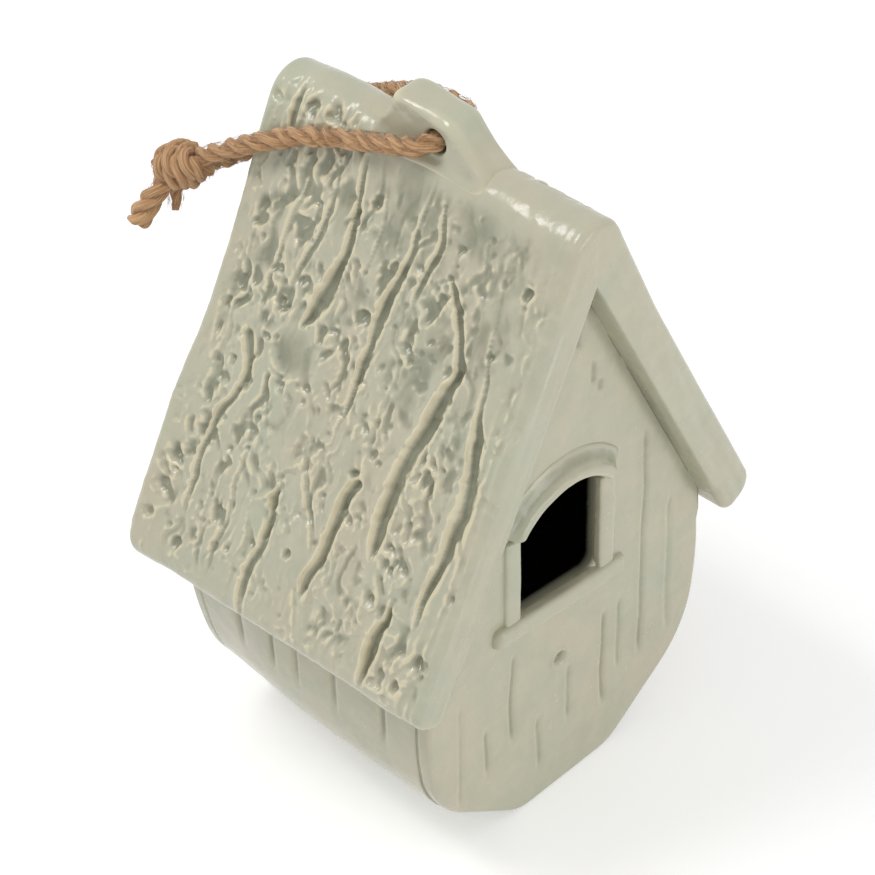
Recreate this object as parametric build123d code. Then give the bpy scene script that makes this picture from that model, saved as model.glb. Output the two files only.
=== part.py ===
"""Hanging stoneware birdhouse, slab built: a pot-bellied house under a steep gable roof.

Axes: X across the gable, Y along the ridge with the door on the -Y side, Z up.
The origin is the centre of the flat foot. All sizes are in millimetres.
"""
from math import cos, hypot, pi, radians, sin, sqrt, tan
import os

from build123d import *

os.makedirs("parts", exist_ok=True)

# ---- body -------------------------------------------------------------------
wall = 5.0                 # thickness of every clay wall
foot_half = 15.5           # half width of the flat foot
chine_radius = 16.0        # bend from the foot into the flared bottom
flare_angle = 35.0         # slope of the flared bottom above level
flare_length = 24.0        # straight stretch of the flared bottom
bilge_radius = 34.0        # bend from the bottom into the belly
bilge_angle = 45.0         # how far that bend turns
belly_radius = 110.0       # the nearly upright side of the belly
belly_angle = 14.0         # how far the side turns
body_edge_radius = 1.6     # soft edge between a gable wall and the belly
drain_hole_radius = 2.5
drain_pitch = 28.0         # spacing of the drain holes along the foot
drain_count = 3

# ---- roof -------------------------------------------------------------------
gable_height = 191.8       # where the two slab undersides meet
pitch = 62.5               # slope of the slab undersides
slope_length = 136.8       # underside, from the mitre to the eave
roof_depth = 116.5         # verge to verge
verge_overhang = 8.4       # each verge stands out this far past its gable wall
slab_thick = 13.9          # slab thickness from its knee down to the eave
slab_knee = 30             # way down the slope above which the slab thickens
ridge_thickness = 22.2     # clay above the mitre, up to the top of the ridge
ridge_radius = 11.0
ridge_angle = 65.6         # slope where the ridge round runs into the slab
eave_outer_radius = 7.0
eave_inner_radius = 4.0
verge_radius = 2.5
gouge_full_half = 1.6      # half width from which a gouge has its full depth
gouge_keel = 0.35          # width of its flat bottom as a share of its width
gouge_rise = 0.4           # height of the cutter's deck above the slab
dent_share = 0.42          # depth of a dent as a share of its radius
dent_sides = 5             # facets of a dent

# ---- door and its clay trim ---------------------------------------------------
door_width = 34.5
door_x = -4.7              # centre of the door, a little off the middle
door_sill_height = 79.5
door_spring_height = 113.5
door_rise = 7.5            # height of the shallow arch above its springing
door_corner_radius = 4.0
jamb_width = 6.5
jamb_depth = 2.0
jamb_edge_radius = 0.9
sill_length = 57.0
sill_height = 6.5
sill_depth = 3.2
sill_tilt = 5.0            # the hand-laid sill drops towards the right
sill_edge_radius = 1.2
hood_band = 9.5            # height of the hood where it leaves the wall
hood_nose = 4.0            # height of its blunt front edge
hood_half_angle = 54.0     # angle from its crown to each end
hood_depth = 4.6
hood_nose_chamfer = 1.4
hood_edge_chamfer = 0.8
trim_gap = 0.3             # joint line left between two trim strips

# ---- peg dimple and board score lines -----------------------------------------
dimple_x = -3.8
dimple_height = 52.5
dimple_radius = 2.6
dimple_rim = 1.3
dimple_rim_height = 0.7
dimple_depth = 3.0
score_width = 2.0
score_depth = 0.7
score_run_in = 0.3         # share of a score's length over which it deepens

# ---- hanging lug and rope -----------------------------------------------------
rope_diameter = 6.0
rope_sides = 10            # the plain tube that stands for the rope is a prism
hole_clearance = 0.75      # radial room for the rope in its hole
hole_y = -3.9
hole_rise = 4.0            # centre of the hole above the ridge
lug_half_width = 7.0       # at the swollen top
lug_waist = 5.8            # half width beside the hole
lug_root = 10.0            # half width where it melts into the roof
lug_front = 20.0           # foot of the lug in front of the hole
lug_back = 19.0            # foot of the lug behind the hole
lug_front_top = 9.0        # its top edge in front of the hole
lug_back_top = 12.5        # its top edge behind the hole
lug_cover = 4.8            # clay above the hole
lug_fall = 1.2             # the top drops this much towards the front
lug_top_radius = 4.0
lug_end_radius = 8.0       # its corners seen from above
knot_length = 21.0
knot_diameter = 15.5
knot_belly = 0.4           # share of its length that is full width
knot_shoulder_angle = 27.0 # slope of its two shoulders
knot_sides = 14

# ---- derived ------------------------------------------------------------------
body_depth = roof_depth - 2 * verge_overhang
ridge_height = gable_height + ridge_thickness
hole_height = ridge_height + hole_rise
front_y = -body_depth / 2
hole_radius = rope_diameter / 2 + hole_clearance
slope = Vector(cos(radians(pitch)), -sin(radians(pitch)))
normal = Vector(sin(radians(pitch)), cos(radians(pitch)))

# The same bark-pressed slab is used on both slopes, so one list serves both. Each gouge: its
# depth, then the places it runs through (along the ridge, down the slope, half its width there).
gouges = [
    (2.0, [(-40, 10, 0), (-41, 26, 0.8), (-44, 40, 1.0), (-46.5, 50, 2.0), (-48.5, 60, 2.6),
           (-49.3, 72, 2.8), (-48, 90, 2.0), (-47.3, 112, 0)]),
    (1.9, [(-20, 11, 0), (-25, 18, 1.6), (-31, 29, 1.7), (-33, 39, 1.9), (-30, 52, 2.9),
           (-27, 66, 3.1), (-25.2, 84, 2.7), (-26, 99, 0)]),
    (1.7, [(-6, 3, 0), (-6.3, 12, 1.1), (-3.5, 28, 2.1), (-2, 45, 2.0), (-1.3, 60, 1.3),
           (-0.5, 76, 0)]),
    (1.9, [(17, -2, 0), (15.6, 12, 0.9), (16.3, 27, 1.6), (20, 40, 3.2), (23, 50, 0)]),
    (1.0, [(36, 0, 0), (35.7, 12, 1.2), (38, 32, 1.3), (38, 52, 0)]),
    (1.7, [(41, 54, 0), (38.5, 61, 2.3), (36.2, 69, 1.6), (40, 82, 1.5), (43, 100, 1.4),
           (41, 119, 0)]),
    (1.4, [(28, 82, 0), (27, 93, 1.0), (27, 112, 1.1), (27.5, 131, 0)]),
    (1.7, [(11, 89, 0), (12.8, 99, 1.6), (12.2, 112, 1.9), (13.5, 124, 1.9), (13, 136, 0)]),
    (2.1, [(-14, 76, 0), (-11.2, 84, 2.1), (-10, 100, 1.8), (-7.5, 114, 1.4), (-6.3, 122, 0)]),
    (2.5, [(-37.5, 102, 0), (-36.5, 113, 2.0), (-35.5, 124, 2.2), (-35, 134, 0)]),
    (1.1, [(-14, 44, 0), (-13, 60, 0.9), (-13.7, 78, 0)]),
    (1.0, [(-12.2, -7, 0), (-14.3, 4, 1.1), (-15.2, 11, 0)]),
    (1.0, [(30, 64, 0), (26.5, 72, 1.1), (23, 79, 0)]),
]
# Dents that the knobs of the bark left, on both slopes: along the ridge, down the slope, radius.
dents = [
    (53, 14, 2.0), (49, 21, 1.5), (52, 36, 1.5), (49, 45, 2.0), (52, 52, 1.5), (43, 73, 1.8),
    (53, 85, 1.8), (53, 112, 2.2), (37, 112, 1.8), (53, 122, 2.2), (33, 120, 1.5), (36, 39, 1.8),
    (31, 45, 2.0), (27, 36, 2.0), (14, 57, 2.0), (8, 46, 2.0), (4, 36, 2.0), (9, 5, 2.2),
    (10, 23, 1.8), (8, 60, 1.8), (-22, 5, 2.0), (-21, 21, 2.0), (-48, 7, 2.0), (-41, 27, 1.6),
    (-15, 125, 1.4), (-46, 120, 1.8), (-52, 117, 1.8), (-42, 125, 2.4), (-8, 66, 1.5),
    (-11, 15, 1.5), (1, 22, 1.6), (22.5, 67, 1.6), (19, 112, 1.8), (-22, 108, 1.6),
]

# Score lines on the front wall: sideways place, lower end and upper end.
front_scores = [
    (34.0, 30, 116),
    (16.8, 20, 57),
    (24.0, 30, 58),
    (-24.0, 33, 66),
    (-35.5, 27, 45),
    (-12.0, 13, 34),
    (1.6, 24, 46),
]


def slope_point(along, out):
    """Point of the right-hand gable section: a way down the slope, then out of it."""
    return Vector(0, gable_height) + slope * along + normal * out


def slab_thickness(along):
    """Thickness of the slab at a way down the slope: it thickens above its knee."""
    ridge_end = ridge_round_end() - Vector(0, gable_height)
    share = (slab_knee - along) / (slab_knee - ridge_end.dot(slope))
    return slab_thick + (ridge_end.dot(normal) - slab_thick) * max(0, share)


def ridge_round_end():
    """Where the round of the ridge runs into the slab's outer face."""
    turn = radians(ridge_angle)
    centre = Vector(0, ridge_height - ridge_radius)
    return centre + Vector(sin(turn), cos(turn)) * ridge_radius


def belly_half(inset):
    """Right half of the U-shaped section, set in from the outer skin."""
    foot = Line((0, inset), (foot_half, inset))
    chine = JernArc(foot @ 1, foot % 1, chine_radius - inset, flare_angle)
    flare = Line(chine @ 1, chine @ 1 + (chine % 1) * flare_length)
    bilge = JernArc(flare @ 1, flare % 1, bilge_radius - inset, bilge_angle)
    belly = JernArc(bilge @ 1, bilge % 1, belly_radius - inset, belly_angle)
    climb = (gable_height - (belly @ 1).Y) / (belly % 1).Y
    rise = Line(belly @ 1, belly @ 1 + (belly % 1) * climb)
    return [foot, chine, flare, bilge, belly, rise]


def belly_face(inset):
    """The U-shaped section filled up to the height of the gable's peak."""
    side = belly_half(inset)
    lid = Line(side[-1] @ 1, (0, gable_height))
    middle = Line((0, gable_height), (0, inset))
    half = make_face(Wire(side + [lid, middle]))
    return half + mirror(half, about=Plane.YZ)


def gable_triangle():
    """Everything below the undersides of the two roof slabs."""
    spread = 2 * gable_height / tan(radians(pitch))
    return make_face(Polyline((0, gable_height), (spread, -gable_height),
                              (-spread, -gable_height), (0, gable_height)))


def section_solid(face, near, far):
    """Extrude an X-Z section from one place along Y to another."""
    return extrude(Plane.XZ.offset(-near) * face, amount=near - far)


def gouge_cutter(depth, places, frame, surface, full_half=gouge_full_half):
    """A boat-shaped tool: flat facets that rise from a flat keel to a point at each end.

    Its deck lies a little above the surface, so that the cut is open all along. Where it is
    narrow it is shallow too.
    """
    def spot(along, down, out):
        return frame(along, down, surface(down) + out)

    rings = []
    for before, (along, down, half), after in zip(places, places[1:], places[2:]):
        run, drop = after[0] - before[0], after[1] - before[1]
        side_along, side_down = drop / hypot(run, drop), -run / hypot(run, drop)
        deep = depth * min(1, half / full_half)
        ring = []
        for aside, out in ((-half * (1 + gouge_rise / deep), gouge_rise), (-half * gouge_keel, -deep),
                           (half * gouge_keel, -deep), (half * (1 + gouge_rise / deep), gouge_rise)):
            ring.append(spot(along + side_along * aside, down + side_down * aside, out))
        rings.append(ring)
    bow, stern = [spot(along, down, gouge_rise) for along, down, _ in (places[0], places[-1])]
    outlines = []
    for k in range(4):
        turn = (k + 1) % 4
        outlines.append((bow, rings[0][k], rings[0][turn]))
        outlines.append((stern, rings[-1][k], rings[-1][turn]))
        for ring, following in zip(rings, rings[1:]):
            outlines.append((ring[k], ring[turn], following[turn]))
            outlines.append((ring[k], following[turn], following[k]))
    return Solid(Shell([Face(Wire.make_polygon(corners)) for corners in outlines]))


def dent_cutter(along, down, radius, frame, surface):
    """A low pyramid, upside down, with its point in the slab and its deck above the surface."""
    depth = radius * dent_share
    wide = radius * (1 + gouge_rise / depth)
    point = frame(along, down, surface(down) - depth)
    deck = []
    for k in range(dent_sides):
        turn = 2 * pi * k / dent_sides
        deck.append(frame(along + wide * cos(turn), down + wide * sin(turn), surface(down) + gouge_rise))
    outlines = [tuple(deck)]
    for k in range(dent_sides):
        outlines.append((point, deck[k], deck[(k + 1) % dent_sides]))
    return Solid(Shell([Face(Wire.make_polygon(corners)) for corners in outlines]))


def slope_frame(along, down, out):
    """Left-hand roof slope: along the ridge, down the slope, out of the slope."""
    flat = slope_point(down, out)
    return Vector(-flat.X, along, flat.Y)


def front_frame(across, up, out):
    """Front wall: across, up, and out of its face."""
    return Vector(across, front_y - out, up)


# ---- body pieces --------------------------------------------------------------
def make_body_shell():
    ring = (belly_face(0) & gable_triangle()) - belly_face(wall)
    inside = body_depth / 2 - wall
    shell = section_solid(ring, -inside, inside)
    first = -drain_pitch * (drain_count - 1) / 2
    for k in range(drain_count):
        hole = Pos(0, first + k * drain_pitch, 0) * Cylinder(drain_hole_radius, 3 * wall)
        shell -= hole
    return shell


def make_wall_blank(outer, inner):
    """A gable wall whose outer rim is softened where it meets the belly."""
    blank = section_solid(belly_face(0) & gable_triangle(), outer, inner)
    rim = [edge for edge in blank.edges()
           if abs(edge.center().Y - outer) < 0.01 and edge.center().Z < eave_meeting_height()]
    return fillet(rim, body_edge_radius)


def eave_meeting_height():
    """Height at which the outer skin of the belly runs under the roof."""
    rise = belly_half(0)[-1]
    bottom, heading = rise @ 0, rise % 0
    drop = gable_height - bottom.X * tan(radians(pitch)) - bottom.Y
    return bottom.Y + drop / (1 + heading.X / heading.Y * tan(radians(pitch)))


def door_outline(grow):
    """Door opening with rounded lower corners and a shallow arched head."""
    half = door_width / 2 + grow
    low = door_sill_height - grow
    spring = door_spring_height
    sides = Polyline((-half, spring), (-half, low), (half, low), (half, spring))
    head = ThreePointArc((half, spring), (0, spring + door_rise + grow), (-half, spring))
    face = make_face(Wire(list(sides.edges()) + [head]))
    corners = face.vertices().sort_by(Axis.Y)[0:2]
    return Pos(door_x, 0) * fillet(corners, door_corner_radius)


def make_front_wall():
    front = make_wall_blank(front_y, front_y + wall)
    front -= section_solid(door_outline(0), front_y - wall, front_y + 2 * wall)
    facing = Plane(front_frame(dimple_x, dimple_height, 0), x_dir=(1, 0, 0), z_dir=(0, -1, 0))
    front += extrude(facing * Circle(dimple_radius + dimple_rim), amount=dimple_rim_height)
    front -= extrude(facing * Circle(dimple_radius), amount=dimple_rim_height)
    front -= extrude(facing * Circle(dimple_radius), amount=-dimple_depth)
    for across, low, high in front_scores:
        run_in = (high - low) * score_run_in
        places = [(across, low, 0), (across, low + run_in, score_width / 2),
                  (across, high - run_in, score_width / 2), (across, high, 0)]
        front -= gouge_cutter(score_depth, places, front_frame, lambda up: 0, score_width / 2)
    return front


def make_back_wall():
    return make_wall_blank(-front_y, -front_y - wall)


# ---- roof pieces --------------------------------------------------------------
def slab_face():
    """Right-hand slab section: mitred at the ridge, rounded at the eave."""
    start = slope_point(0, 0)
    low_in = slope_point(slope_length, 0)
    low_out = slope_point(slope_length, slab_thick)
    knee = slope_point(slab_knee, slab_thick)
    shoulder = ridge_round_end()
    half_turn = radians(ridge_angle / 2)
    crown = Vector(0, ridge_height - ridge_radius)
    round_middle = crown + Vector(sin(half_turn), cos(half_turn)) * ridge_radius
    peak = Vector(0, ridge_height)
    outline = Wire([
        Line(start, low_in),
        Line(low_in, low_out),
        Line(low_out, knee),
        Line(knee, shoulder),
        ThreePointArc(shoulder, round_middle, peak),
        Line(peak, start),
    ])
    face = make_face(outline)
    corners = face.vertices().sort_by(Axis.Y)
    face = fillet(corners[0], eave_inner_radius)
    corner = face.vertices().sort_by_distance(low_out)[0]
    return fillet(corner, eave_outer_radius)


def make_slab_blank():
    """Left-hand slab before its verges are softened and its bark is cut."""
    return section_solid(mirror(slab_face(), about=Plane.YZ), -roof_depth / 2, roof_depth / 2)


def verge_edges(slab):
    """Edges round the two end faces of a slab, without the two on the mitre."""
    return [edge for edge in slab.edges()
            if abs(abs(edge.center().Y) - roof_depth / 2) < 0.01
            and abs(edge.center().X) > 0.01]


def make_roof_left():
    slab = make_slab_blank()
    slab = fillet(verge_edges(slab), verge_radius)
    for depth, places in gouges:
        slab -= gouge_cutter(depth, places, slope_frame, slab_thickness)
    for along, down, radius in dents:
        slab -= dent_cutter(along, down, radius, slope_frame, slab_thickness)
    return slab


def make_roof_right(left):
    """The same pressed slab turned half round about the upright axis."""
    return left.rotate(Axis.Z, 180)


# ---- door trim ----------------------------------------------------------------
def soften(solid, radius):
    """Round the edges of a trim strip's front face."""
    return fillet(solid.faces().sort_by(Axis.Y)[0].edges(), radius)


def make_sill():
    bar = Rectangle(sill_length, sill_height)
    middle = door_sill_height - sill_height / 2 / cos(radians(sill_tilt))
    placed = Pos(door_x, middle) * Rot(0, 0, -sill_tilt) * bar
    return soften(section_solid(placed, front_y - sill_depth, front_y), sill_edge_radius)


def sill_top(across):
    """Height of the tilted sill's upper edge at a place across the wall."""
    return door_sill_height - (across - door_x) * tan(radians(sill_tilt))


def head_circle():
    """Radius of the door's arched head and the height of its centre."""
    half = door_width / 2
    radius = (half ** 2 + door_rise ** 2) / (2 * door_rise)
    return radius, door_spring_height + door_rise - radius


def make_jamb(side):
    """Raised strip beside the door, from just above the sill to just below the hood."""
    inner = door_x + side * door_width / 2
    outer = inner + side * jamb_width
    radius, centre_height = head_circle()
    head = centre_height + radius * cos(radians(hood_half_angle)) - trim_gap
    outline = Polyline((inner, sill_top(inner) + trim_gap), (outer, sill_top(outer) + trim_gap),
                       (outer, head), (inner, head), close=True)
    strip = section_solid(make_face(outline), front_y - jamb_depth, front_y)
    return soften(strip, jamb_edge_radius)


def make_hood():
    """Visor over the door: one section swung round the centre of the arched head."""
    radius, centre_height = head_circle()
    low = centre_height + radius
    nose = front_y - hood_depth
    section = make_face(Polyline((front_y, low), (front_y, low + hood_band),
                                 (front_y - hood_edge_chamfer, low + hood_band),
                                 (nose, low + hood_nose), (nose, low), close=True))
    section = chamfer(section.vertices().sort_by_distance((nose, low + hood_nose))[0],
                      hood_nose_chamfer)
    section = chamfer(section.vertices().sort_by_distance((nose, low))[0], hood_edge_chamfer)
    placed = Plane.YZ.offset(door_x) * section
    axis = Axis((door_x, 0, centre_height), (0, 1, 0))
    swung = revolve(placed, axis, 2 * hood_half_angle)
    return swung.rotate(axis, -hood_half_angle)


# ---- hanging lug --------------------------------------------------------------
def make_lug(roof_blank):
    """Saddle of clay melted over the ridge, with the rope hole through its waist."""
    top = hole_height + hole_radius + lug_cover
    base = ridge_height - lug_root
    side = Polyline((hole_y - lug_front, base),
                    (hole_y - lug_front, ridge_height),
                    (hole_y - lug_front_top, top - lug_fall),
                    (hole_y + lug_back_top, top),
                    (hole_y + lug_back, ridge_height),
                    (hole_y + lug_back, base), close=True)
    side_face = make_face(side)
    side_face = fillet(side_face.vertices().sort_by(Axis.Y)[-2:], lug_top_radius)
    crown = Line((0, top), (lug_half_width - lug_top_radius, top))
    shoulder = JernArc(crown @ 1, (1, 0), lug_top_radius, -90)
    flank = ThreePointArc(shoulder @ 1, (lug_waist, hole_height),
                          (lug_root, ridge_height - lug_root / 2))
    half = make_face(Wire([crown, shoulder, flank,
                           Line(flank @ 1, (lug_root, base)),
                           Line((lug_root, base), (0, base)),
                           Line((0, base), (0, top))]))
    cross = half + mirror(half, about=Plane.YZ)
    run = extrude(Plane.XZ * cross, amount=roof_depth / 2, both=True)
    ends = extrude(Plane.YZ * side_face, amount=2 * lug_root, both=True)
    plan = RectangleRounded(2 * lug_root, lug_front + lug_back, lug_end_radius)
    middle = hole_y + (lug_back - lug_front) / 2
    upright = extrude(Pos(0, middle, base) * plan, amount=top)
    lug = run & ends & upright
    lug -= roof_blank
    bore = Pos(0, hole_y, hole_height) * Rot(0, 90, 0) * Cylinder(hole_radius, 4 * lug_root)
    return lug - bore


# ---- hanging rope -------------------------------------------------------------
# One rope runs from the knot over the back of the left slope, through the lug and
# back round the right slope behind the verge to the same knot.
rope_route = [
    (-24.5, 72.4, 185.7),
    (-22.8, 65.2, 190.6),
    (-18.9, 50.3, 199.4),
    (-15.8, 36.7, 205.9),
    (-13.2, 21.0, 210.8),
    (-11.5, 8.0, 214.4),
    (-10.7, hole_y, hole_height),
    (10.7, hole_y, hole_height),
    (12.2, 9.0, 217.6),
    (12.8, 20.0, 214.2),
    (15.0, 32.0, 207.6),
    (19.3, 44.0, 199.2),
    (22.9, 57.5, 191.0),
    (18.2, 70.0, 182.0),
    (6.0, 74.8, 176.2),
    (-7.5, 74.4, 176.4),
    (-18.7, 75.7, 179.6),
]
knot_centre = Vector(-26.4, 77.9, 181.5)
long_tail_route = [(-31.2, 81.3, 176.1), (-33.6, 83.9, 170.1), (-36.9, 86.9, 163.1)]
short_tail_route = [(-25.4, 81.3, 173.5), (-26.4, 81.5, 169.0), (-27.0, 81.1, 164.5)]


def corner_radii(points):
    """Arc radius at each corner: as large as its two runs allow."""
    radii = []
    for a, b, c in zip(points, points[1:], points[2:]):
        into, out = Vector(b) - Vector(a), Vector(c) - Vector(b)
        half_turn = radians(into.get_angle(out) / 2)
        radii.append(0.45 * min(into.length, out.length) / tan(half_turn))
    return radii


def make_cord(route, name):
    """Plain round tube along straight runs joined by tangent arcs."""
    radii = corner_radii(route)
    path = FilletPolyline(*route, radius=radii)
    section = RegularPolygon(rope_diameter / 2, rope_sides)
    tube = sweep(Plane(path @ 0, z_dir=path % 0) * section, path=path)
    expected = section.area * path.length
    print(name, "length", round(path.length, 1), "mm, volume ratio",
          round(tube.volume / expected, 4), "radii", [round(r, 1) for r in radii])
    return tube


def make_knot():
    """The knot as a plain closed barrel in line with the rope that enters it."""
    heading = knot_centre - Vector(rope_route[0])
    belly = RegularPolygon(knot_diameter / 2, knot_sides)
    middle = extrude(belly, amount=knot_length * knot_belly / 2, both=True)
    cap_height = knot_length * (1 - knot_belly) / 2
    cap = extrude(middle.faces().sort_by(Axis.Z)[-1], amount=cap_height, taper=knot_shoulder_angle)
    barrel = middle + cap + mirror(cap, about=Plane.XY)
    return Plane(knot_centre, z_dir=heading) * barrel


# ---- the whole house ----------------------------------------------------------
roof_blank = make_slab_blank()
roof_blank += mirror(roof_blank, about=Plane.YZ)
roof_left = make_roof_left()

pieces = {
    "body_shell": make_body_shell(),
    "front_wall": make_front_wall(),
    "back_wall": make_back_wall(),
    "roof_left": roof_left,
    "roof_right": make_roof_right(roof_left),
    "hanging_lug": make_lug(roof_blank),
    "door_sill": make_sill(),
    "door_jamb_left": make_jamb(-1),
    "door_jamb_right": make_jamb(1),
    "door_hood": make_hood(),
    "hanging_rope": make_cord(rope_route, "rope"),
    "rope_knot": make_knot(),
    "rope_tail_long": make_cord(long_tail_route, "long tail"),
    "rope_tail_short": make_cord(short_tail_route, "short tail"),
}

for name, piece in pieces.items():
    export_step(piece, f"parts/{name}.step")
    print(name, "solids", len(piece.solids()), "volume", round(piece.volume, 1))
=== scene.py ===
# %% [markdown]
# # A hanging stoneware birdhouse
# A potter bends one slab of clay into a belly, closes it with two gable walls and lays two thick
# slabs over them as a roof. Bark was pressed and gouged into the roof before the firing, and the
# whole house was dipped in a pale sage glaze. It hangs from one loop of jute rope.
#
# The packed model is the fixed frame: it says where every piece is and how large it is. Each piece
# below is worked out in millimetres on the same values and then takes the place of its plain solid.

# %% Load the fixed frame
from itertools import product
import math

import bmesh
import bpy
import numpy as np
from mathutils import Matrix, Vector


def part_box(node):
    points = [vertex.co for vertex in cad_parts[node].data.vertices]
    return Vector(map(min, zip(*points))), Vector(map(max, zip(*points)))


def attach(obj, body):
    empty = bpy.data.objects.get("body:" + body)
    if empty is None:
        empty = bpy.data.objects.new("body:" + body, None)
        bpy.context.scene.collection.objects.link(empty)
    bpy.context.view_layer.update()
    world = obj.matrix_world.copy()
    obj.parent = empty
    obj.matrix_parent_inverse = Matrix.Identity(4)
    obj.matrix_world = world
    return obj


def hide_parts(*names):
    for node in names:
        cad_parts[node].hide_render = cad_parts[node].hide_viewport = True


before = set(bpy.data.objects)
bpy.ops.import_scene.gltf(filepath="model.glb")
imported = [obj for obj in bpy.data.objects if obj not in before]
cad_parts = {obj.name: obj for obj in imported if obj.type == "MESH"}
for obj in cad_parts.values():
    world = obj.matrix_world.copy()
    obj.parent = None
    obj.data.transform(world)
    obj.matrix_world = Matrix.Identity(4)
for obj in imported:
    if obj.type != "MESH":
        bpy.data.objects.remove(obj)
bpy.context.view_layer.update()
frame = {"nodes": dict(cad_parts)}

MM = 0.001
print("nodes:", ", ".join(frame["nodes"]))

# %% [markdown]
# ## The camera
# The house is seen from its front left corner and from well above. The camera stands upright apart
# from a slight roll, and its long lens keeps parallel edges nearly parallel.

# %% Set up the camera
def look(azimuth, elevation, roll, distance, aim, lens):
    """Camera at a distance from the aim, turned by two angles and rolled about its own axis."""
    a, e = math.radians(azimuth), math.radians(elevation)
    back = Vector((math.sin(a) * math.cos(e), -math.cos(a) * math.cos(e), math.sin(e)))
    camera = bpy.data.objects.new("camera", bpy.data.cameras.new("camera"))
    camera.data.sensor_width, camera.data.lens = 36, lens
    camera.data.clip_start, camera.data.clip_end = 0.01, 20
    level = (-back).to_track_quat("-Z", "Y").to_matrix()
    turn = level @ Matrix.Rotation(math.radians(roll), 3, "Z")
    camera.matrix_world = Matrix.Translation(Vector(aim) + back * distance) @ turn.to_4x4()
    bpy.context.scene.collection.objects.link(camera)
    bpy.context.scene.camera = camera
    return camera


camera = look(azimuth=-46.447, elevation=39.808, roll=-0.582, distance=1.08916,
              aim=(-0.00114, 0.0012, 0.10679), lens=152.15)
print("camera at", [round(v, 3) for v in camera.matrix_world.translation])

# %% [markdown]
# ## Writing materials as sums
# A finish is easier to read as a formula than as a web of nodes. A `Value` is a node's output that
# takes part in Python sums, and each operator adds one Math node. `Finish.node` adds any other
# node. The same class serves the surround, which has nodes too. Colours are written as they are
# seen, in the usual 0 to 255, and turned into light.

# %% A number on a surface
class Value:
    """A number that varies over the surface, with the usual signs for sums."""

    def __init__(self, finish, socket):
        self.finish, self.socket = finish, socket

    def sum(self, operation, *terms):
        return self.finish.node("ShaderNodeMath", {"operation": operation}, dict(enumerate(terms)))

    def __add__(self, other):
        return self.sum("ADD", self, other)

    def __sub__(self, other):
        return self.sum("SUBTRACT", self, other)

    def __rsub__(self, other):
        return self.sum("SUBTRACT", other, self)

    def __mul__(self, other):
        return self.sum("MULTIPLY", self, other)

    __radd__ = __add__
    __rmul__ = __mul__


print("signs:", *(name for name in vars(Value) if name[-5:-2] in ("add", "sub", "mul")))

# %% A finish and its nodes
class Finish:
    """The nodes of a material, or of the surround. Constants go on the shader's own sockets."""

    def __init__(self, owner, shader="Principled BSDF", **constants):
        owner.use_nodes = True
        self.owner, self.tree = owner, owner.node_tree
        self.shader = self.tree.nodes[shader]
        for socket, value in constants.items():
            self.shader.inputs[socket.replace("_", " ")].default_value = value

    def node(self, kind, settings=None, inputs=None, output=0):
        """Add a node: its settings first, then its sockets' values or links."""
        node = self.tree.nodes.new(kind)
        for key, value in (settings or {}).items():
            setattr(node, key, value)
        for key, value in (inputs or {}).items():
            if isinstance(value, Value):
                self.tree.links.new(value.socket, node.inputs[key])
            else:
                node.inputs[key].default_value = value
        return Value(self, node.outputs[output])

    def place(self):
        return self.node("ShaderNodeTexCoord", output="Object")

    def mark(self, name):
        """A number that the mesh carries at each of its points."""
        return self.node("ShaderNodeAttribute", {"attribute_name": name}, output="Fac")

    def noise(self, size, detail=2.0, place=None, rough=0.5):
        """Cloudy noise from 0 to 1, whose blobs are about a size across, in metres."""
        inputs = {"Vector": place or self.place(), "Scale": 1 / size, "Detail": detail,
                  "Roughness": rough}
        return self.node("ShaderNodeTexNoise", None, inputs, output="Fac")

    def step(self, value, low, high):
        """0 below low, 1 above high and a smooth ramp between."""
        settings = {"interpolation_type": "SMOOTHSTEP"}
        inputs = {"Value": value, "From Min": low, "From Max": high}
        return self.node("ShaderNodeMapRange", settings, inputs)

    def mix(self, share, first, second):
        """A colour between two colours."""
        return self.node("ShaderNodeMix", {"data_type": "RGBA"}, {0: share, 6: first, 7: second},
                         output=2)

    def bump(self, height, distance):
        return self.node("ShaderNodeBump", None, {"Height": height, "Distance": distance})

    def feed(self, **links):
        for socket, value in links.items():
            self.tree.links.new(value.socket, self.shader.inputs[socket.replace("_", " ")])
        return self.owner


def seen(red, green, blue):
    """A colour as it is seen, 0 to 255, as the linear colour that a shader takes."""
    share = np.array([red, green, blue]) / 255
    linear = np.where(share <= 0.04045, share / 12.92, ((share + 0.055) / 1.055) ** 2.4)
    return (*linear.tolist(), 1.0)


print("a mid grey as light:", round(seen(128, 128, 128)[0], 3))

# %% [markdown]
# ## The glaze
# A celadon glaze is a glass with a little iron in it. Where it pools in a hollow it is thick and
# grey-green, and where it runs thin over an edge the warm clay shows through as cream. The meshes
# carry two numbers for that: `stands_out_and_highlight` says how far a point stands proud of its
# close surroundings, and `lies_low_and_shade` how far it lies below its wider surroundings, both in
# millimetres.
# On top of the shape, `lies_low_and_shade` also carries painted shade (under the roof, up the
# slope, in the hood's gutter) and `stands_out_and_highlight` carries painted highlights on lips.
# Past one millimetre `lies_low_and_shade` is painted shade that deepens into the doorway, where the
# colour goes to near black.

# %% Sage glaze over stoneware
# The pooled tone also serves as painted shade, and the thin tone as painted highlight.
glaze_tones = {
    "sage": seen(189, 190, 167), "warm": seen(196, 189, 165), "cool": seen(180, 183, 161),
    "milky": seen(202, 197, 174), "pooled": seen(141, 142, 121), "thin": seen(228, 218, 186),
    # The last tone is near black: painted shade deep in the doorway.
    "bare": seen(186, 160, 120), "painted_shade": seen(30, 27, 20),
}


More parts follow.
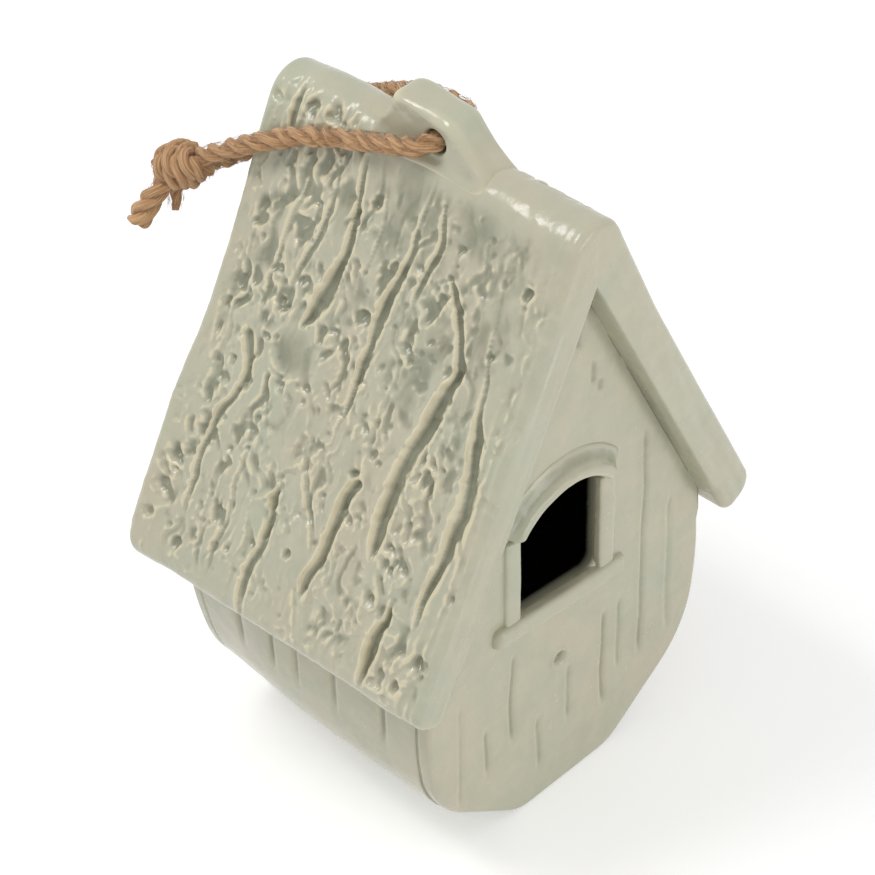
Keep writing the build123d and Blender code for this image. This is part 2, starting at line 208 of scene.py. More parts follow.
def make_glaze():
    """Each tone is mixed over the ones before it, by a share between 0 and 1."""
    finish = Finish(bpy.data.materials.new("sage_glaze"), IOR=1.5)
    drift = finish.step(finish.noise(0.034, detail=3), 0.30, 0.70)
    cloud = finish.step(finish.noise(0.013, detail=3), 0.35, 0.75)
    body = finish.mix(drift, glaze_tones["sage"], glaze_tones["warm"])
    body = finish.mix(cloud * 0.6, body, glaze_tones["cool"])
    flow = finish.step(finish.noise(0.0055, detail=4), 0.42, 0.68)
    body = finish.mix(flow * 0.28, body, glaze_tones["milky"])
    ragged = (finish.noise(0.0022, detail=3) - 0.5) * 0.5
    # Pooled and thin glaze follow the marks, and so do the painted shade and highlights added to
    # them.
    pooled = finish.step(finish.mark("lies_low_and_shade") + ragged * 0.35, 0.05, 0.85)
    thin = finish.step(finish.mark("stands_out_and_highlight") + ragged * 0.10, 0.05, 0.30)
    bare = finish.step(finish.mark("stands_out_and_highlight") + ragged * 0.3, 0.45, 0.8)
    for share, most, tone in ((pooled, 0.9, "pooled"), (thin, 0.8, "thin"), (bare, 0.25, "bare")):
        body = finish.mix(share * most, body, glaze_tones[tone])
    # Painted shade: where lies_low_and_shade passes about a millimetre, mostly in the doorway, it
    # turns near black.
    painted_depth_shade = finish.step(finish.mark("lies_low_and_shade"), 0.9, 3.1)
    body = finish.mix(painted_depth_shade, body, glaze_tones["painted_shade"])
    ripple = finish.noise(0.006, detail=2) * 0.6 + finish.noise(0.0018, detail=2) * 0.05
    gloss = finish.step(finish.noise(0.008, detail=3), 0.3, 0.8) * 0.12 + 0.17
    return finish.feed(Base_Color=body, Roughness=gloss, Normal=finish.bump(ripple, 0.0006))


def make_dark_inside_shade():
    """A near-black matte sheet inside the house: painted shade, with a fine grain."""
    finish = Finish(bpy.data.materials.new("painted_shade_inside"), Roughness=0.9)
    grain = finish.noise(0.0012, detail=4)
    return finish.feed(Base_Color=finish.mix(grain, seen(34, 29, 24), seen(52, 44, 36)),
                       Normal=finish.bump(grain, 0.0003))


sage_glaze = make_glaze()
dark_inside_shade = make_dark_inside_shade()
print("glaze nodes:", len(sage_glaze.node_tree.nodes))

# %% [markdown]
# ## The rope
# The rope is one length of 6 mm jute, laid from three strands. It comes first, because it has to
# lie where its plain tube lies in the frame: from the knot over the back of the left slope,
# through the lug, and back behind the rear verge to the same knot. The points below are the
# control points of one smooth NURBS spline.

# %% The route, in metres
def points_of(*numbers):
    """Points from their coordinates, each an array or one number for all."""
    return np.stack(np.broadcast_arrays(*numbers), axis=-1)


def run_along(line):
    """How far along a line each of its points lies."""
    return np.append(0, np.cumsum(np.linalg.norm(np.diff(line, axis=0), axis=1)))


def points_at(line, run, at):
    """Points at given distances along a line."""
    return points_of(*(np.interp(at, run, column) for column in line.T))


rope_diameter = 0.006
rope_route = [
    (-0.0245, 0.0724, 0.1857),
    (-0.0228, 0.0652, 0.1906),
    (-0.0189, 0.0503, 0.1994),
    (-0.0158, 0.0367, 0.2059),
    (-0.0132, 0.0210, 0.2108),
    (-0.0115, 0.0080, 0.2144),
    (-0.0107, -0.0039, 0.2180),
    (0.0107, -0.0039, 0.2180),
    (0.0122, 0.0090, 0.2176),
    (0.0128, 0.0200, 0.2142),
    (0.0150, 0.0320, 0.2076),
    (0.0193, 0.0440, 0.1992),
    (0.0229, 0.0575, 0.1910),
    (0.0182, 0.0700, 0.1820),
    (0.0060, 0.0748, 0.1762),
    (-0.0075, 0.0744, 0.1764),
    (-0.0187, 0.0757, 0.1796),
]
knot_centre = np.array((-0.0264, 0.0779, 0.1815))
long_tail_route = [(-0.0312, 0.0813, 0.1761), (-0.0336, 0.0839, 0.1701),
                   (-0.0369, 0.0869, 0.1631)]
short_tail_route = [(-0.0254, 0.0813, 0.1735), (-0.0264, 0.0815, 0.1690),
                    (-0.0270, 0.0811, 0.1645)]


def spline_points(route, spacing):
    """Points a spacing apart along the NURBS spline that has the route as control points."""
    curve = bpy.data.curves.new("route", "CURVE")
    curve.dimensions = "3D"
    spline = curve.splines.new("NURBS")
    spline.points.add(len(route) - 1)
    spline.points.foreach_set("co", points_of(*np.transpose(route), 1.0).ravel())
    spline.order_u = 3
    spline.use_endpoint_u = True
    spline.resolution_u = 24
    holder = bpy.data.objects.new("route", curve)
    mesh = bpy.data.meshes.new_from_object(holder)
    line = np.empty(3 * len(mesh.vertices))
    mesh.vertices.foreach_get("co", line)
    line = line.reshape(-1, 3)
    bpy.data.objects.remove(holder)
    bpy.data.curves.remove(curve)
    bpy.data.meshes.remove(mesh)
    run = run_along(line)
    return points_at(line, run, np.linspace(0, run[-1], int(round(run[-1] / spacing)) + 1))


rope_line = spline_points(rope_route, 0.0005)

# %% [markdown]
# ### Laid strands
# Three strands wind round the rope's line once in every pitch. Each strand is a bundle of yarns
# that wind the other way, so its round section has low lobes that turn along it. Both are
# formulas on a grid: one direction runs along the rope, the other round a strand.

# %% Meshes from grids of points
def quads_of(rows, cols, wrap_rows=False, wrap_cols=False):
    """Four-sided faces between neighbouring rows and columns of a grid."""
    index = np.arange(rows * cols).reshape(rows, cols)
    if wrap_rows:
        index = np.vstack([index, index[:1]])
    if wrap_cols:
        index = np.hstack([index, index[:, :1]])
    corners = [index[:-1, :-1], index[1:, :-1], index[1:, 1:], index[:-1, 1:]]
    return np.stack(corners, axis=-1).reshape(-1, 4)


def winding(points, quads):
    """+1 if the closed skin's faces point outwards, -1 if they point inwards."""
    a, b, c, d = (points[quads[:, k]] for k in range(4))
    halves = np.cross(a, b) * c + np.cross(a, c) * d
    return 1 if halves.sum() > 0 else -1


def dress(name, points, quads, finishes, marks=None, corner_uv=None, inner=None):
    """A smooth mesh object from points in metres, faces that point outwards, and its marks."""
    if winding(points, quads) < 0:
        quads = quads[:, ::-1]
        corner_uv = None if corner_uv is None else corner_uv[:, ::-1]
    mesh = bpy.data.meshes.new(name)
    mesh.from_pydata(points.tolist(), [], quads.tolist())
    mesh.polygons.foreach_set("use_smooth", np.ones(len(quads), bool))
    if inner is not None:
        mesh.polygons.foreach_set("material_index", inner[quads].all(axis=1).astype(np.int32))
    for key, values in (marks or {}).items():
        mesh.attributes.new(key, "FLOAT", "POINT").data.foreach_set("value", values.ravel())
    if corner_uv is not None:
        layer = mesh.uv_layers.new(name="along_and_round")
        layer.uv.foreach_set("vector", corner_uv.reshape(-1))
    for finish in finishes:
        mesh.materials.append(finish)
    work = bmesh.new()
    work.from_mesh(mesh)
    bmesh.ops.remove_doubles(work, verts=work.verts, dist=2e-6)
    work.to_mesh(mesh)
    work.free()
    piece = bpy.data.objects.new(name, mesh)
    bpy.context.scene.collection.objects.link(piece)
    print(name, len(mesh.polygons), "faces")
    return piece


print("faces of a grid of 3 by 3 points:", len(quads_of(3, 3)))

# %% Directions along a line
def unit(vectors):
    """The same directions, each of length 1."""
    return vectors / np.linalg.norm(vectors, axis=-1, keepdims=True)


def to_the_right(ways):
    """Unit directions, square to ways in a plane and on their right."""
    return unit(points_of(ways[..., 1], -ways[..., 0]))


def frames_along(line, up):
    """At each point the line's heading, a side square to it and to up, and the third direction."""
    heading = unit(np.gradient(line, axis=0))
    side = unit(np.cross(heading, up))
    return heading, side, np.cross(side, heading)


def turned(angle, one, other):
    """The direction at an angle from one towards the other."""
    return np.cos(angle)[..., None] * one + np.sin(angle)[..., None] * other


print("the rope leaves the knot along", frames_along(rope_line, (0, 0, 1))[0][0].round(2))

# %% Strands, with their yarns
def laid_rope(line, up, diameter, pitch, seed, strand_count=3, flare=0.0, sides=18):
    """Grids of all strands, with a closing point at each end.

    A strand's centre is the line plus a circle of lay_radius whose angle grows along the line.
    Its section is a circle whose radius swells and shrinks a little with the yarns.
    """
    side, rise = (v[:, None, :] for v in frames_along(line, up)[1:])
    run = run_along(line)
    random = np.random.default_rng(seed)
    swell = 1 + flare * (run / run[-1]) ** 2
    around = np.linspace(0, 2 * np.pi, sides, endpoint=False)[None, :]
    ring = turned(around, side, rise)
    grids = []
    for k in range(strand_count):
        waver = sum(random.normal(0, 0.14) * np.sin(2 * np.pi * run / random.uniform(0.008, 0.03)
                                                    + random.uniform(0, 6)) for _ in range(4))
        wind = -2 * np.pi * (run / pitch + k / strand_count) + waver
        lay_radius = 0.25 * diameter * swell * (1 + 0.14 * waver)
        centre = line[:, None, :] + lay_radius[:, None, None] * turned(wind[:, None], side, rise)
        yarn = np.cos(5 * around - 2 * np.pi * run[:, None] / (0.55 * pitch) + 2 * waver[:, None])
        radius = 0.26 * diameter * swell[:, None] * (1 + 0.05 * yarn + 0.14 * waver[:, None])
        ends = [np.repeat(centre[i], sides, axis=0)[None] for i in (0, -1)]
        grids.append(np.concatenate([ends[0], centre + radius[..., None] * ring, ends[1]]))
    return np.array(grids)


print("places along the rope:", len(rope_line))

# %% [markdown]
# ### Loose fibres
# Jute sheds short fibres, and without them the rope looks like plastic. Each one is a tapered hair
# of three sides. There are thousands, so all of them are worked out in one go.

# %% Loose fibres
def loose_fibres(line, up, diameter, count, seed, longest=0.0045):
    """Thin tapered hairs that leave the rope and curl: grids of rings of three points.

    At a share t of its length a hair is at root + along t + out t^1.5 + across t^2, and its
    thickness falls evenly to a fifth.
    """
    random = np.random.default_rng(seed)
    heading, side, rise = frames_along(line, up)
    start = random.integers(2, len(line) - 2, count)
    out = turned(random.uniform(0, 2 * np.pi, count), side[start], rise[start])
    across = np.cross(out, heading[start])
    along = heading[start] * random.choice([-1, 1], (count, 1))
    length = random.uniform(0.25, 1.0, (count, 1)) ** 2 * longest
    lift = random.uniform(0.05, 0.32, (count, 1)) * length
    sway = random.normal(0, 0.3, (count, 1)) * length
    share = np.linspace(0, 1, 6)[None, :, None]
    root = line[start] + out * diameter * 0.44
    bend = (along * length)[:, None] * share + (out * lift)[:, None] * share ** 1.5
    path = root[:, None] + bend + (across * sway)[:, None] * share ** 2
    thick = random.uniform(0.00005, 0.0001, (count, 1, 1)) * (1 - 0.8 * share)
    corner = np.array([0, 2, 4]) * np.pi / 3
    ring = turned(corner[None, :], out[:, None, :], across[:, None, :])
    return path[:, :, None, :] + thick[..., None] * ring[:, None, :, :]


# %% One mesh from many grids
def rope_piece(name, parts, finish, node):
    """One mesh from stacks of grids. Its map says how far along and how far round each face is."""
    points, quads, maps, first = [], [], [], 0
    for stack in parts:
        rows, cols = stack.shape[1:3]
        faces = quads_of(rows, cols, wrap_cols=True)
        row, col = np.divmod(np.arange(rows * cols).reshape(rows, cols), cols)
        along = points_of(row[:-1], row[1:], row[1:], row[:-1])
        round_it = points_of(col[:-1], col[:-1], col[:-1] + 1, col[:-1] + 1)
        corner = points_of(round_it / cols, along * 0.05).reshape(-1, 4, 2)
        for grid in stack:
            points.append(grid.reshape(-1, 3))
            quads.append(faces + first)
            maps.append(corner)
            first += rows * cols
    piece = dress(name, np.concatenate(points), np.concatenate(quads), [finish],
                  corner_uv=np.concatenate(maps))
    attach(piece, "hanger")
    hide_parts(node)
    return piece


print("faces of one strand of the rope:", len(quads_of(len(rope_line) + 2, 18, wrap_cols=True)))

# %% [markdown]
# ### Jute
# Jute is a dull bast fibre: straw where the light catches single fibres, and brown in the creases
# between the yarns. The streaks follow each strand, so they are drawn on its own map.

# %% The jute finish
def make_jute():
    """Two browns mixed by streaks along the strand, and a third laid over in soft clumps."""
    finish = Finish(bpy.data.materials.new("jute"), Roughness=0.85, Sheen_Weight=0.3)
    uv = finish.node("ShaderNodeUVMap", {"uv_map": "along_and_round"})
    skew = finish.node("ShaderNodeMapping", None, {"Vector": uv, "Rotation": (0, 0, 0.35),
                                                   "Scale": (22.0, 1.0, 1.0)})
    streak = finish.noise(1.0, detail=5, place=skew, rough=0.65)
    clump = finish.noise(0.004, detail=3)
    colour = finish.mix(finish.step(streak, 0.3, 0.7), seen(160, 112, 70), seen(228, 188, 140))
    colour = finish.mix(finish.step(clump, 0.45, 0.8) * 0.6, colour, seen(186, 136, 90))
    return finish.feed(Base_Color=colour, Normal=finish.bump(streak, 0.0004))


jute = make_jute()
upward = np.array((0.0, 0.0, 1.0))
lay_pitch = 0.018
rope = rope_piece("jute_rope", [laid_rope(rope_line, upward, rope_diameter, lay_pitch, seed=3)],
                  jute, "hanging_rope")
fibres = loose_fibres(rope_line, upward, rope_diameter, 3600, seed=5)
rope_fuzz = rope_piece("jute_fibres", [fibres], jute, "hanging_rope")

# %% [markdown]
# ### The knot and the two ends
# Both ends of the rope are tied together. The knot is the same rope wound three times round the
# pull of the loop, with tilted turns, and its two ends stick out below it, cut and frayed.

# %% Tie the knot
def knot_route(centre, axis, turns=3.1, count=34):
    """A helix about the axis whose radius swells in the middle and whose turns are tilted."""
    axis = unit(axis)
    across = unit(np.cross(axis, upward))
    share = np.linspace(0, 1, count)
    angle = 2 * np.pi * turns * share + 0.6
    radius = 0.0022 + 0.0029 * np.sin(np.pi * share) ** 0.45 + 0.0005 * np.sin(3 * angle)
    along = -0.0068 + 0.0136 * share + 0.0019 * np.sin(angle + 0.5)
    round_it = turned(angle, across, np.cross(across, axis))
    return centre + along[:, None] * axis + radius[:, None] * round_it


knot_axis = knot_centre - np.array(rope_route[0])
knot_line = spline_points(knot_route(knot_centre, knot_axis), 0.0006)
knot = rope_piece("jute_knot", [laid_rope(knot_line, knot_axis, 0.0058, 0.016, seed=8),
                                loose_fibres(knot_line, knot_axis, 0.0058, 900, seed=9)],
                  jute, "rope_knot")


def rope_end(name, node, route, diameter, flare, seed, hairs):
    """A cut end: its strands spread by flare towards the cut."""
    line = spline_points([knot_centre, *route], 0.0005)
    sideways = np.array((1.0, 0.0, 0.0))
    strands = laid_rope(line, sideways, diameter, lay_pitch, seed, flare=flare)
    frayed = loose_fibres(line, sideways, round(diameter, 3), hairs, seed + 1)
    return rope_piece(name, [strands, frayed], jute, node)


long_tail = rope_end("jute_end_long", "rope_tail_long", long_tail_route, 0.0062, 0.3, 11, 220)
short_tail = rope_end("jute_end_short", "rope_tail_short", short_tail_route, 0.0052, -0.5, 14, 160)

# %% [markdown]
# ## Clay surfaces
# Hand-worked clay is never quite flat. One field of smooth random numbers, read at a point's own
# place in the house, moves every clay surface, so that pieces still meet where they touch.

# %% Noise and smooth steps
def noise(points, size, seed):
    """Random numbers on a lattice of cells, blended by smooth steps, from about -1 to 1."""
    table = np.random.default_rng(seed).uniform(-1, 1, (32, 32, 32))
    cell = np.floor(points / size).astype(int)
    share = points / size - cell
    share = share * share * (3 - 2 * share)
    total = np.zeros(points.shape[:-1])
    for corner in product((0, 1), repeat=3):
        i, j, k = np.moveaxis((cell + corner) % 32, -1, 0)
        weight = np.where(corner, share, 1 - share).prod(axis=-1)
        total += weight * table[i, j, k]
    return total


def smooth(value, low, high):
    """0 below low, 1 above high and a smooth step between."""
    share = np.clip((value - low) / (high - low), 0, 1)
    return share * share * (3 - 2 * share)


def fades(value, low, high):
    """1 below low and 0 above high."""
    return 1 - smooth(value, low, high)


def bell(value, width, power=2):
    """1 at 0, and falling to both sides, to about a third at the width."""
    return np.exp(-(value / width) ** power)


sample = noise(np.random.default_rng(1).uniform(0, 100, (500, 3)), 9, 81)
print("noise runs from", sample.min().round(2), "to", sample.max().round(2))

# %% [markdown]
# ### Reading the glaze from the shape
# Melted glaze runs off edges and gathers in hollows. The surface is compared with a blurred copy of
# itself: a narrow blur finds the edges, and a wide one finds the hollows. So every mark that the
# potter makes later is glazed rightly without being painted.

# %% Blur, glaze marks and a fired piece
def blurred(grid, cells, wrap):
    """The grid's points averaged with their neighbours, weighted by a bell curve."""
    reach = int(3 * cells)
    weights = np.exp(-0.5 * (np.arange(-reach, reach + 1) / cells) ** 2)
    weights /= weights.sum()
    for axis in (0, 1):
        pad = [(reach, reach) if side == axis else (0, 0) for side in range(3)]
        padded = np.pad(grid, pad, mode="wrap" if wrap[axis] else "edge")
        length = grid.shape[axis]
        taps = [np.take(padded, range(k, k + length), axis=axis) for k in range(2 * reach + 1)]
        grid = sum(weight * tap for weight, tap in zip(weights, taps))
    return grid


def glaze_marks(grid, cell, wrap, outward):
    """How far points stand out of their close, and lie below their wider surroundings, in mm."""
    normal = np.cross(*np.gradient(grid, axis=(0, 1)))
    normal *= outward / np.maximum(np.linalg.norm(normal, axis=-1, keepdims=True), 1e-9)
    near = ((grid - blurred(grid, 0.9 / cell, wrap)) * normal).sum(axis=-1)
    wide = ((blurred(grid, 3.4 / cell, wrap) - grid) * normal).sum(axis=-1)
    return {"stands_out_and_highlight": near, "lies_low_and_shade": wide}


def fired_on(piece, node):
    """A clay piece rides on the house and stands for its solid, which it hides."""
    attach(piece, "house")
    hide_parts(node)
    return piece


def clay_piece(name, node, grid, cell, wrap=(False, True), inner=None, sharp=1.0, pool_and_shade=0.0,
               thin_glaze_and_highlight=0.0):
    """A glazed piece from a grid of points in millimetres. Inner points take painted shade.

    sharp scales how much its edges show through the glaze, pool adds glaze and painted shade,
    and worn takes glaze off and adds painted highlights.
    """
    points = grid.reshape(-1, 3)
    quads = quads_of(*grid.shape[:2], *wrap)
    marks = glaze_marks(grid, cell, wrap, winding(points, quads))
    marks = {"stands_out_and_highlight": marks["stands_out_and_highlight"] * sharp + thin_glaze_and_highlight,
             "lies_low_and_shade": np.clip(marks["lies_low_and_shade"], -1, 1) + pool_and_shade - 2 * thin_glaze_and_highlight}
    inner = None if inner is None else inner.ravel()
    return fired_on(dress(name, points * MM, quads, [sage_glaze, dark_inside_shade], marks, inner=inner),
                    node)


print("clay pieces are finished in", sage_glaze.name, "and", dark_inside_shade.name)

# %% [markdown]
# ## The roof slabs
# Each slope is one thick slab, mitred at the ridge and rounded at the eave. Its surface is a
# closed section carried along the ridge, and the bark is a height that is added to it: gouges,
# dents and scratches, each a small formula of the distance from a line or a point.

# %% Section of a slab
pitch_angle = math.radians(62.5)
gable_height = 191.8
slope_length = 136.8
ridge_height = 214.0
ridge_radius = 11.0
shoulder_angle = math.radians(65.6)
slab_thick, slab_knee = 13.9, 30.0
mitre_count = 5
eave_outer, eave_inner = 7.0, 4.0
slope_way = np.array((math.cos(pitch_angle), -math.sin(pitch_angle)))
slope_out = np.array((math.sin(pitch_angle), math.cos(pitch_angle)))
half_depth = (np.array(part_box("roof_left")[1]) / MM)[1]


def on_slope(down, out):
    """A place in the right-hand gable section: down the slope, then out of it."""
    down, out = np.asarray(down, float), np.asarray(out, float)
    return (0, gable_height) + down[..., None] * slope_way + out[..., None] * slope_out


def arc(centre, radius, first, last, spacing):
    """Points on an arc whose angles are measured from the upright, turning to the right."""
    angle = np.linspace(first, last, max(3, int(abs(last - first) * radius / spacing) + 1))
    return np.asarray(centre) + radius * points_of(np.sin(angle), np.cos(angle))


def down_of(places):
    """How far down the slope places of the section lie, measured from the peak of the gable."""
    return (places - (0, gable_height)) @ slope_way


shoulder = arc((0, ridge_height - ridge_radius), ridge_radius, 0, shoulder_angle, 1)[-1]
shoulder_down = down_of(shoulder)
shoulder_out = (shoulder - (0, gable_height)) @ slope_out


def slab_thickness(down):
    """Even thickness below the knee, and thicker from there up to the shoulder of the ridge."""
    share = (slab_knee - down) / (slab_knee - shoulder_down)
    soft = 0.5 * (share + np.sqrt(share ** 2 + 0.01))
    return slab_thick + (shoulder_out - slab_thick) * soft


def slab_section(cell):
    """The closed section, from the peak over the outer face and back along the underside.

    Returns its points, its outward directions, and how many points come before the outer face,
    before the eave and in the eave.
    """
    ridge = arc((0, ridge_height - ridge_radius), ridge_radius, 0, shoulder_angle, cell)
    edge = slope_length - eave_outer
    down = np.arange(shoulder_down + cell, edge, cell)
    face = on_slope(down, slab_thickness(down))
    turn = pitch_angle + math.pi / 2
    top = slab_thickness(edge) - eave_outer
    eave = arc(on_slope(edge, top), eave_outer, pitch_angle + 0.06, turn, cell)
    lip = arc(on_slope(slope_length - eave_inner, eave_inner), eave_inner, turn,
              turn + math.pi / 2, 1.2)
    under = on_slope(np.arange(slope_length - eave_inner - 2, 0.5, -4.5), 0)
    mitre = points_of(0.0, np.linspace(gable_height, ridge_height, mitre_count + 1)[:-1])
    loop = np.concatenate([ridge, face, eave, lip, under, mitre])
    tangent = np.roll(loop, -1, axis=0) - np.roll(loop, 1, axis=0)
    outward = -to_the_right(tangent)
    outward[0] = (0, 1)
    outward[-len(mitre):] = (-1, 0)
    return loop, outward, len(ridge), len(ridge) + len(face), len(eave)


print("slab", round(float(shoulder_out), 1), "mm thick at the ridge and", slab_thick, "mm below")

# %% [markdown]
# ### Gouges
# A loop tool drawn through soft clay leaves a hollow that is deeper on one side and pushes up a
# lip on the other. Each gouge is a list of places (along the ridge, down the slope, half width),
# joined by a smooth curve. For every surface point the nearest place on the curve says how far
# aside it lies, and that distance, roughened a little, gives the height.

# %% How a gouge, a dent and a scratch are shaped
def smooth_line(places, per_step=8):
    """Catmull-Rom curve through all columns of the places."""
    p = np.asarray(places, float)
    p = np.vstack([2 * p[0] - p[1], p, 2 * p[-1] - p[-2]])
    t = np.linspace(0, 1, per_step, endpoint=False)[None, :, None]
    a, b, c, d = (p[k:len(p) - 3 + k, None, :] for k in range(4))
    curve = 0.5 * (2 * b + (c - a) * t + (2 * a - 5 * b + 4 * c - d) * t ** 2
                   + (3 * b - a - 3 * c + d) * t ** 3)
    return np.vstack([curve.reshape(-1, p.shape[1]), p[-2]])


def crossed(a, b):
    """Cross product in a plane: above zero where b points to the left of a."""
    return a[..., 0] * b[..., 1] - a[..., 1] * b[..., 0]


class Relief:
    """Heights over a slope, on a grid of places along the ridge and down the slope."""

    def __init__(self, along, down, seed):
        self.along, self.down, self.seed = along, down, seed
        y, s = np.meshgrid(along, down, indexing="ij")
        self.place = points_of(y, s, np.zeros_like(y))
        self.height = np.zeros_like(y)
        self.thin_glaze_and_highlight = np.zeros_like(y)
        self.fine = 0.55 * noise(self.place, 2.6, seed) + 0.3 * noise(self.place, 1.2, seed + 1)
        self.slow = noise(self.place, 7, seed + 7)

    def window(self, low, high):
        """The part of the grid between two corners, and its places."""
        rows = slice(*np.searchsorted(self.along, (low[0], high[0])))
        cols = slice(*np.searchsorted(self.down, (low[1], high[1])))
        return (rows, cols), self.place[rows, cols, :2]

    def gouge(self, places, depth, lip=0.4, ragged=0.2):
        """Hollow along a curve: a rolled lip on its left, a short steep wall, and a wide scoop.

        With q the distance aside over the half width, the lip is a bell about q = -0.85, the
        wall falls from q = -0.6 to the deepest line at q = -0.15, and the scoop rises to q = 1.
        """
        line = smooth_line(places)
        margin = line[:, 2].max() + 3
        part, spot = self.window(line[:, :2].min(0) - margin, line[:, :2].max(0) + margin)
        if spot.size == 0:
            return
        gap = spot[:, :, None, :] - line[None, None, :, :2]
        square = (gap ** 2).sum(axis=-1)
        nearest = square.argmin(axis=-1)
        heading = np.gradient(line[:, :2], axis=0)[nearest]
        offset = np.take_along_axis(gap, nearest[..., None, None], axis=2)[:, :, 0]
        away = np.sqrt(square.min(axis=-1))
        aside = np.sign(crossed(heading, offset))
        half = np.maximum(line[nearest, 2], 0.2)
        rough = ragged * self.fine[part] + 0.30 * self.slow[part]
        q = aside * away / half + rough * np.minimum(half, 1.5) / half
        scale = np.minimum(1, half / 1.6) * depth
        wall = smooth(q, -0.62, -0.12)
        scoop = 1 - np.clip((q + 0.15) / 1.15, 0, 1) ** 1.7
        groove = 0.18 * bell(q - 0.35, 0.12) * smooth(half, 1.2, 2)
        hollow = -scale * np.where(q < -0.12, wall, scoop + groove * (q < 1))
        uneven = 1 + 0.5 * self.slow[part] + 1.2 * ragged * self.fine[part]
        band = bell((q + 0.88) * half, 0.28 * half + 0.35)
        rim = lip * scale * uneven * band + 0.10 * scale * bell(q - 1.2, 0.25)
        self.height[part] += hollow + rim
        # Cream over the lip and the top of the wall: thin glaze, and a painted highlight on that
        # side.
        thin_glaze_and_highlight = bell(q + 0.68, 0.34, 4) * smooth(half, 0.5, 1.4) * uneven
        self.thin_glaze_and_highlight[part] = np.maximum(self.thin_glaze_and_highlight[part], thin_glaze_and_highlight)

    def dent(self, y, s, radius, depth, rim=0.4):
        """Ragged hollow, steep on its upper side, with a lip pushed out on its lower side."""
        part, spot = self.window((y - 3 * radius, s - 3 * radius), (y + 3 * radius, s + 3 * radius))
        across = (spot[..., 0] - y) / radius + 0.9 * self.slow[part]
        down = (spot[..., 1] - s) / radius + 1.3 * self.fine[part]
        away = np.hypot(across * 1.1, down * 0.85) + 1.1 * self.fine[part]
        bowl = bell(np.maximum(away, 0), 0.85, 4) * (1 - 0.45 * np.clip(down, -1, 1))
        pushed = bell(away - 1.25, 0.32) * smooth(down, -0.3, 0.9)
        self.height[part] += depth * (rim * pushed - bowl)


print("places on a curve through 3:", len(smooth_line([(0, 0, 1), (1, 5, 2), (0, 9, 1)])))

# %% [markdown]
# ### Where the marks are
# The potter cut both slabs from one pressed sheet, so both slopes carry the same list of gouges and
# dents. A list of places is easy to read and to change, and the random marks come on top of it.

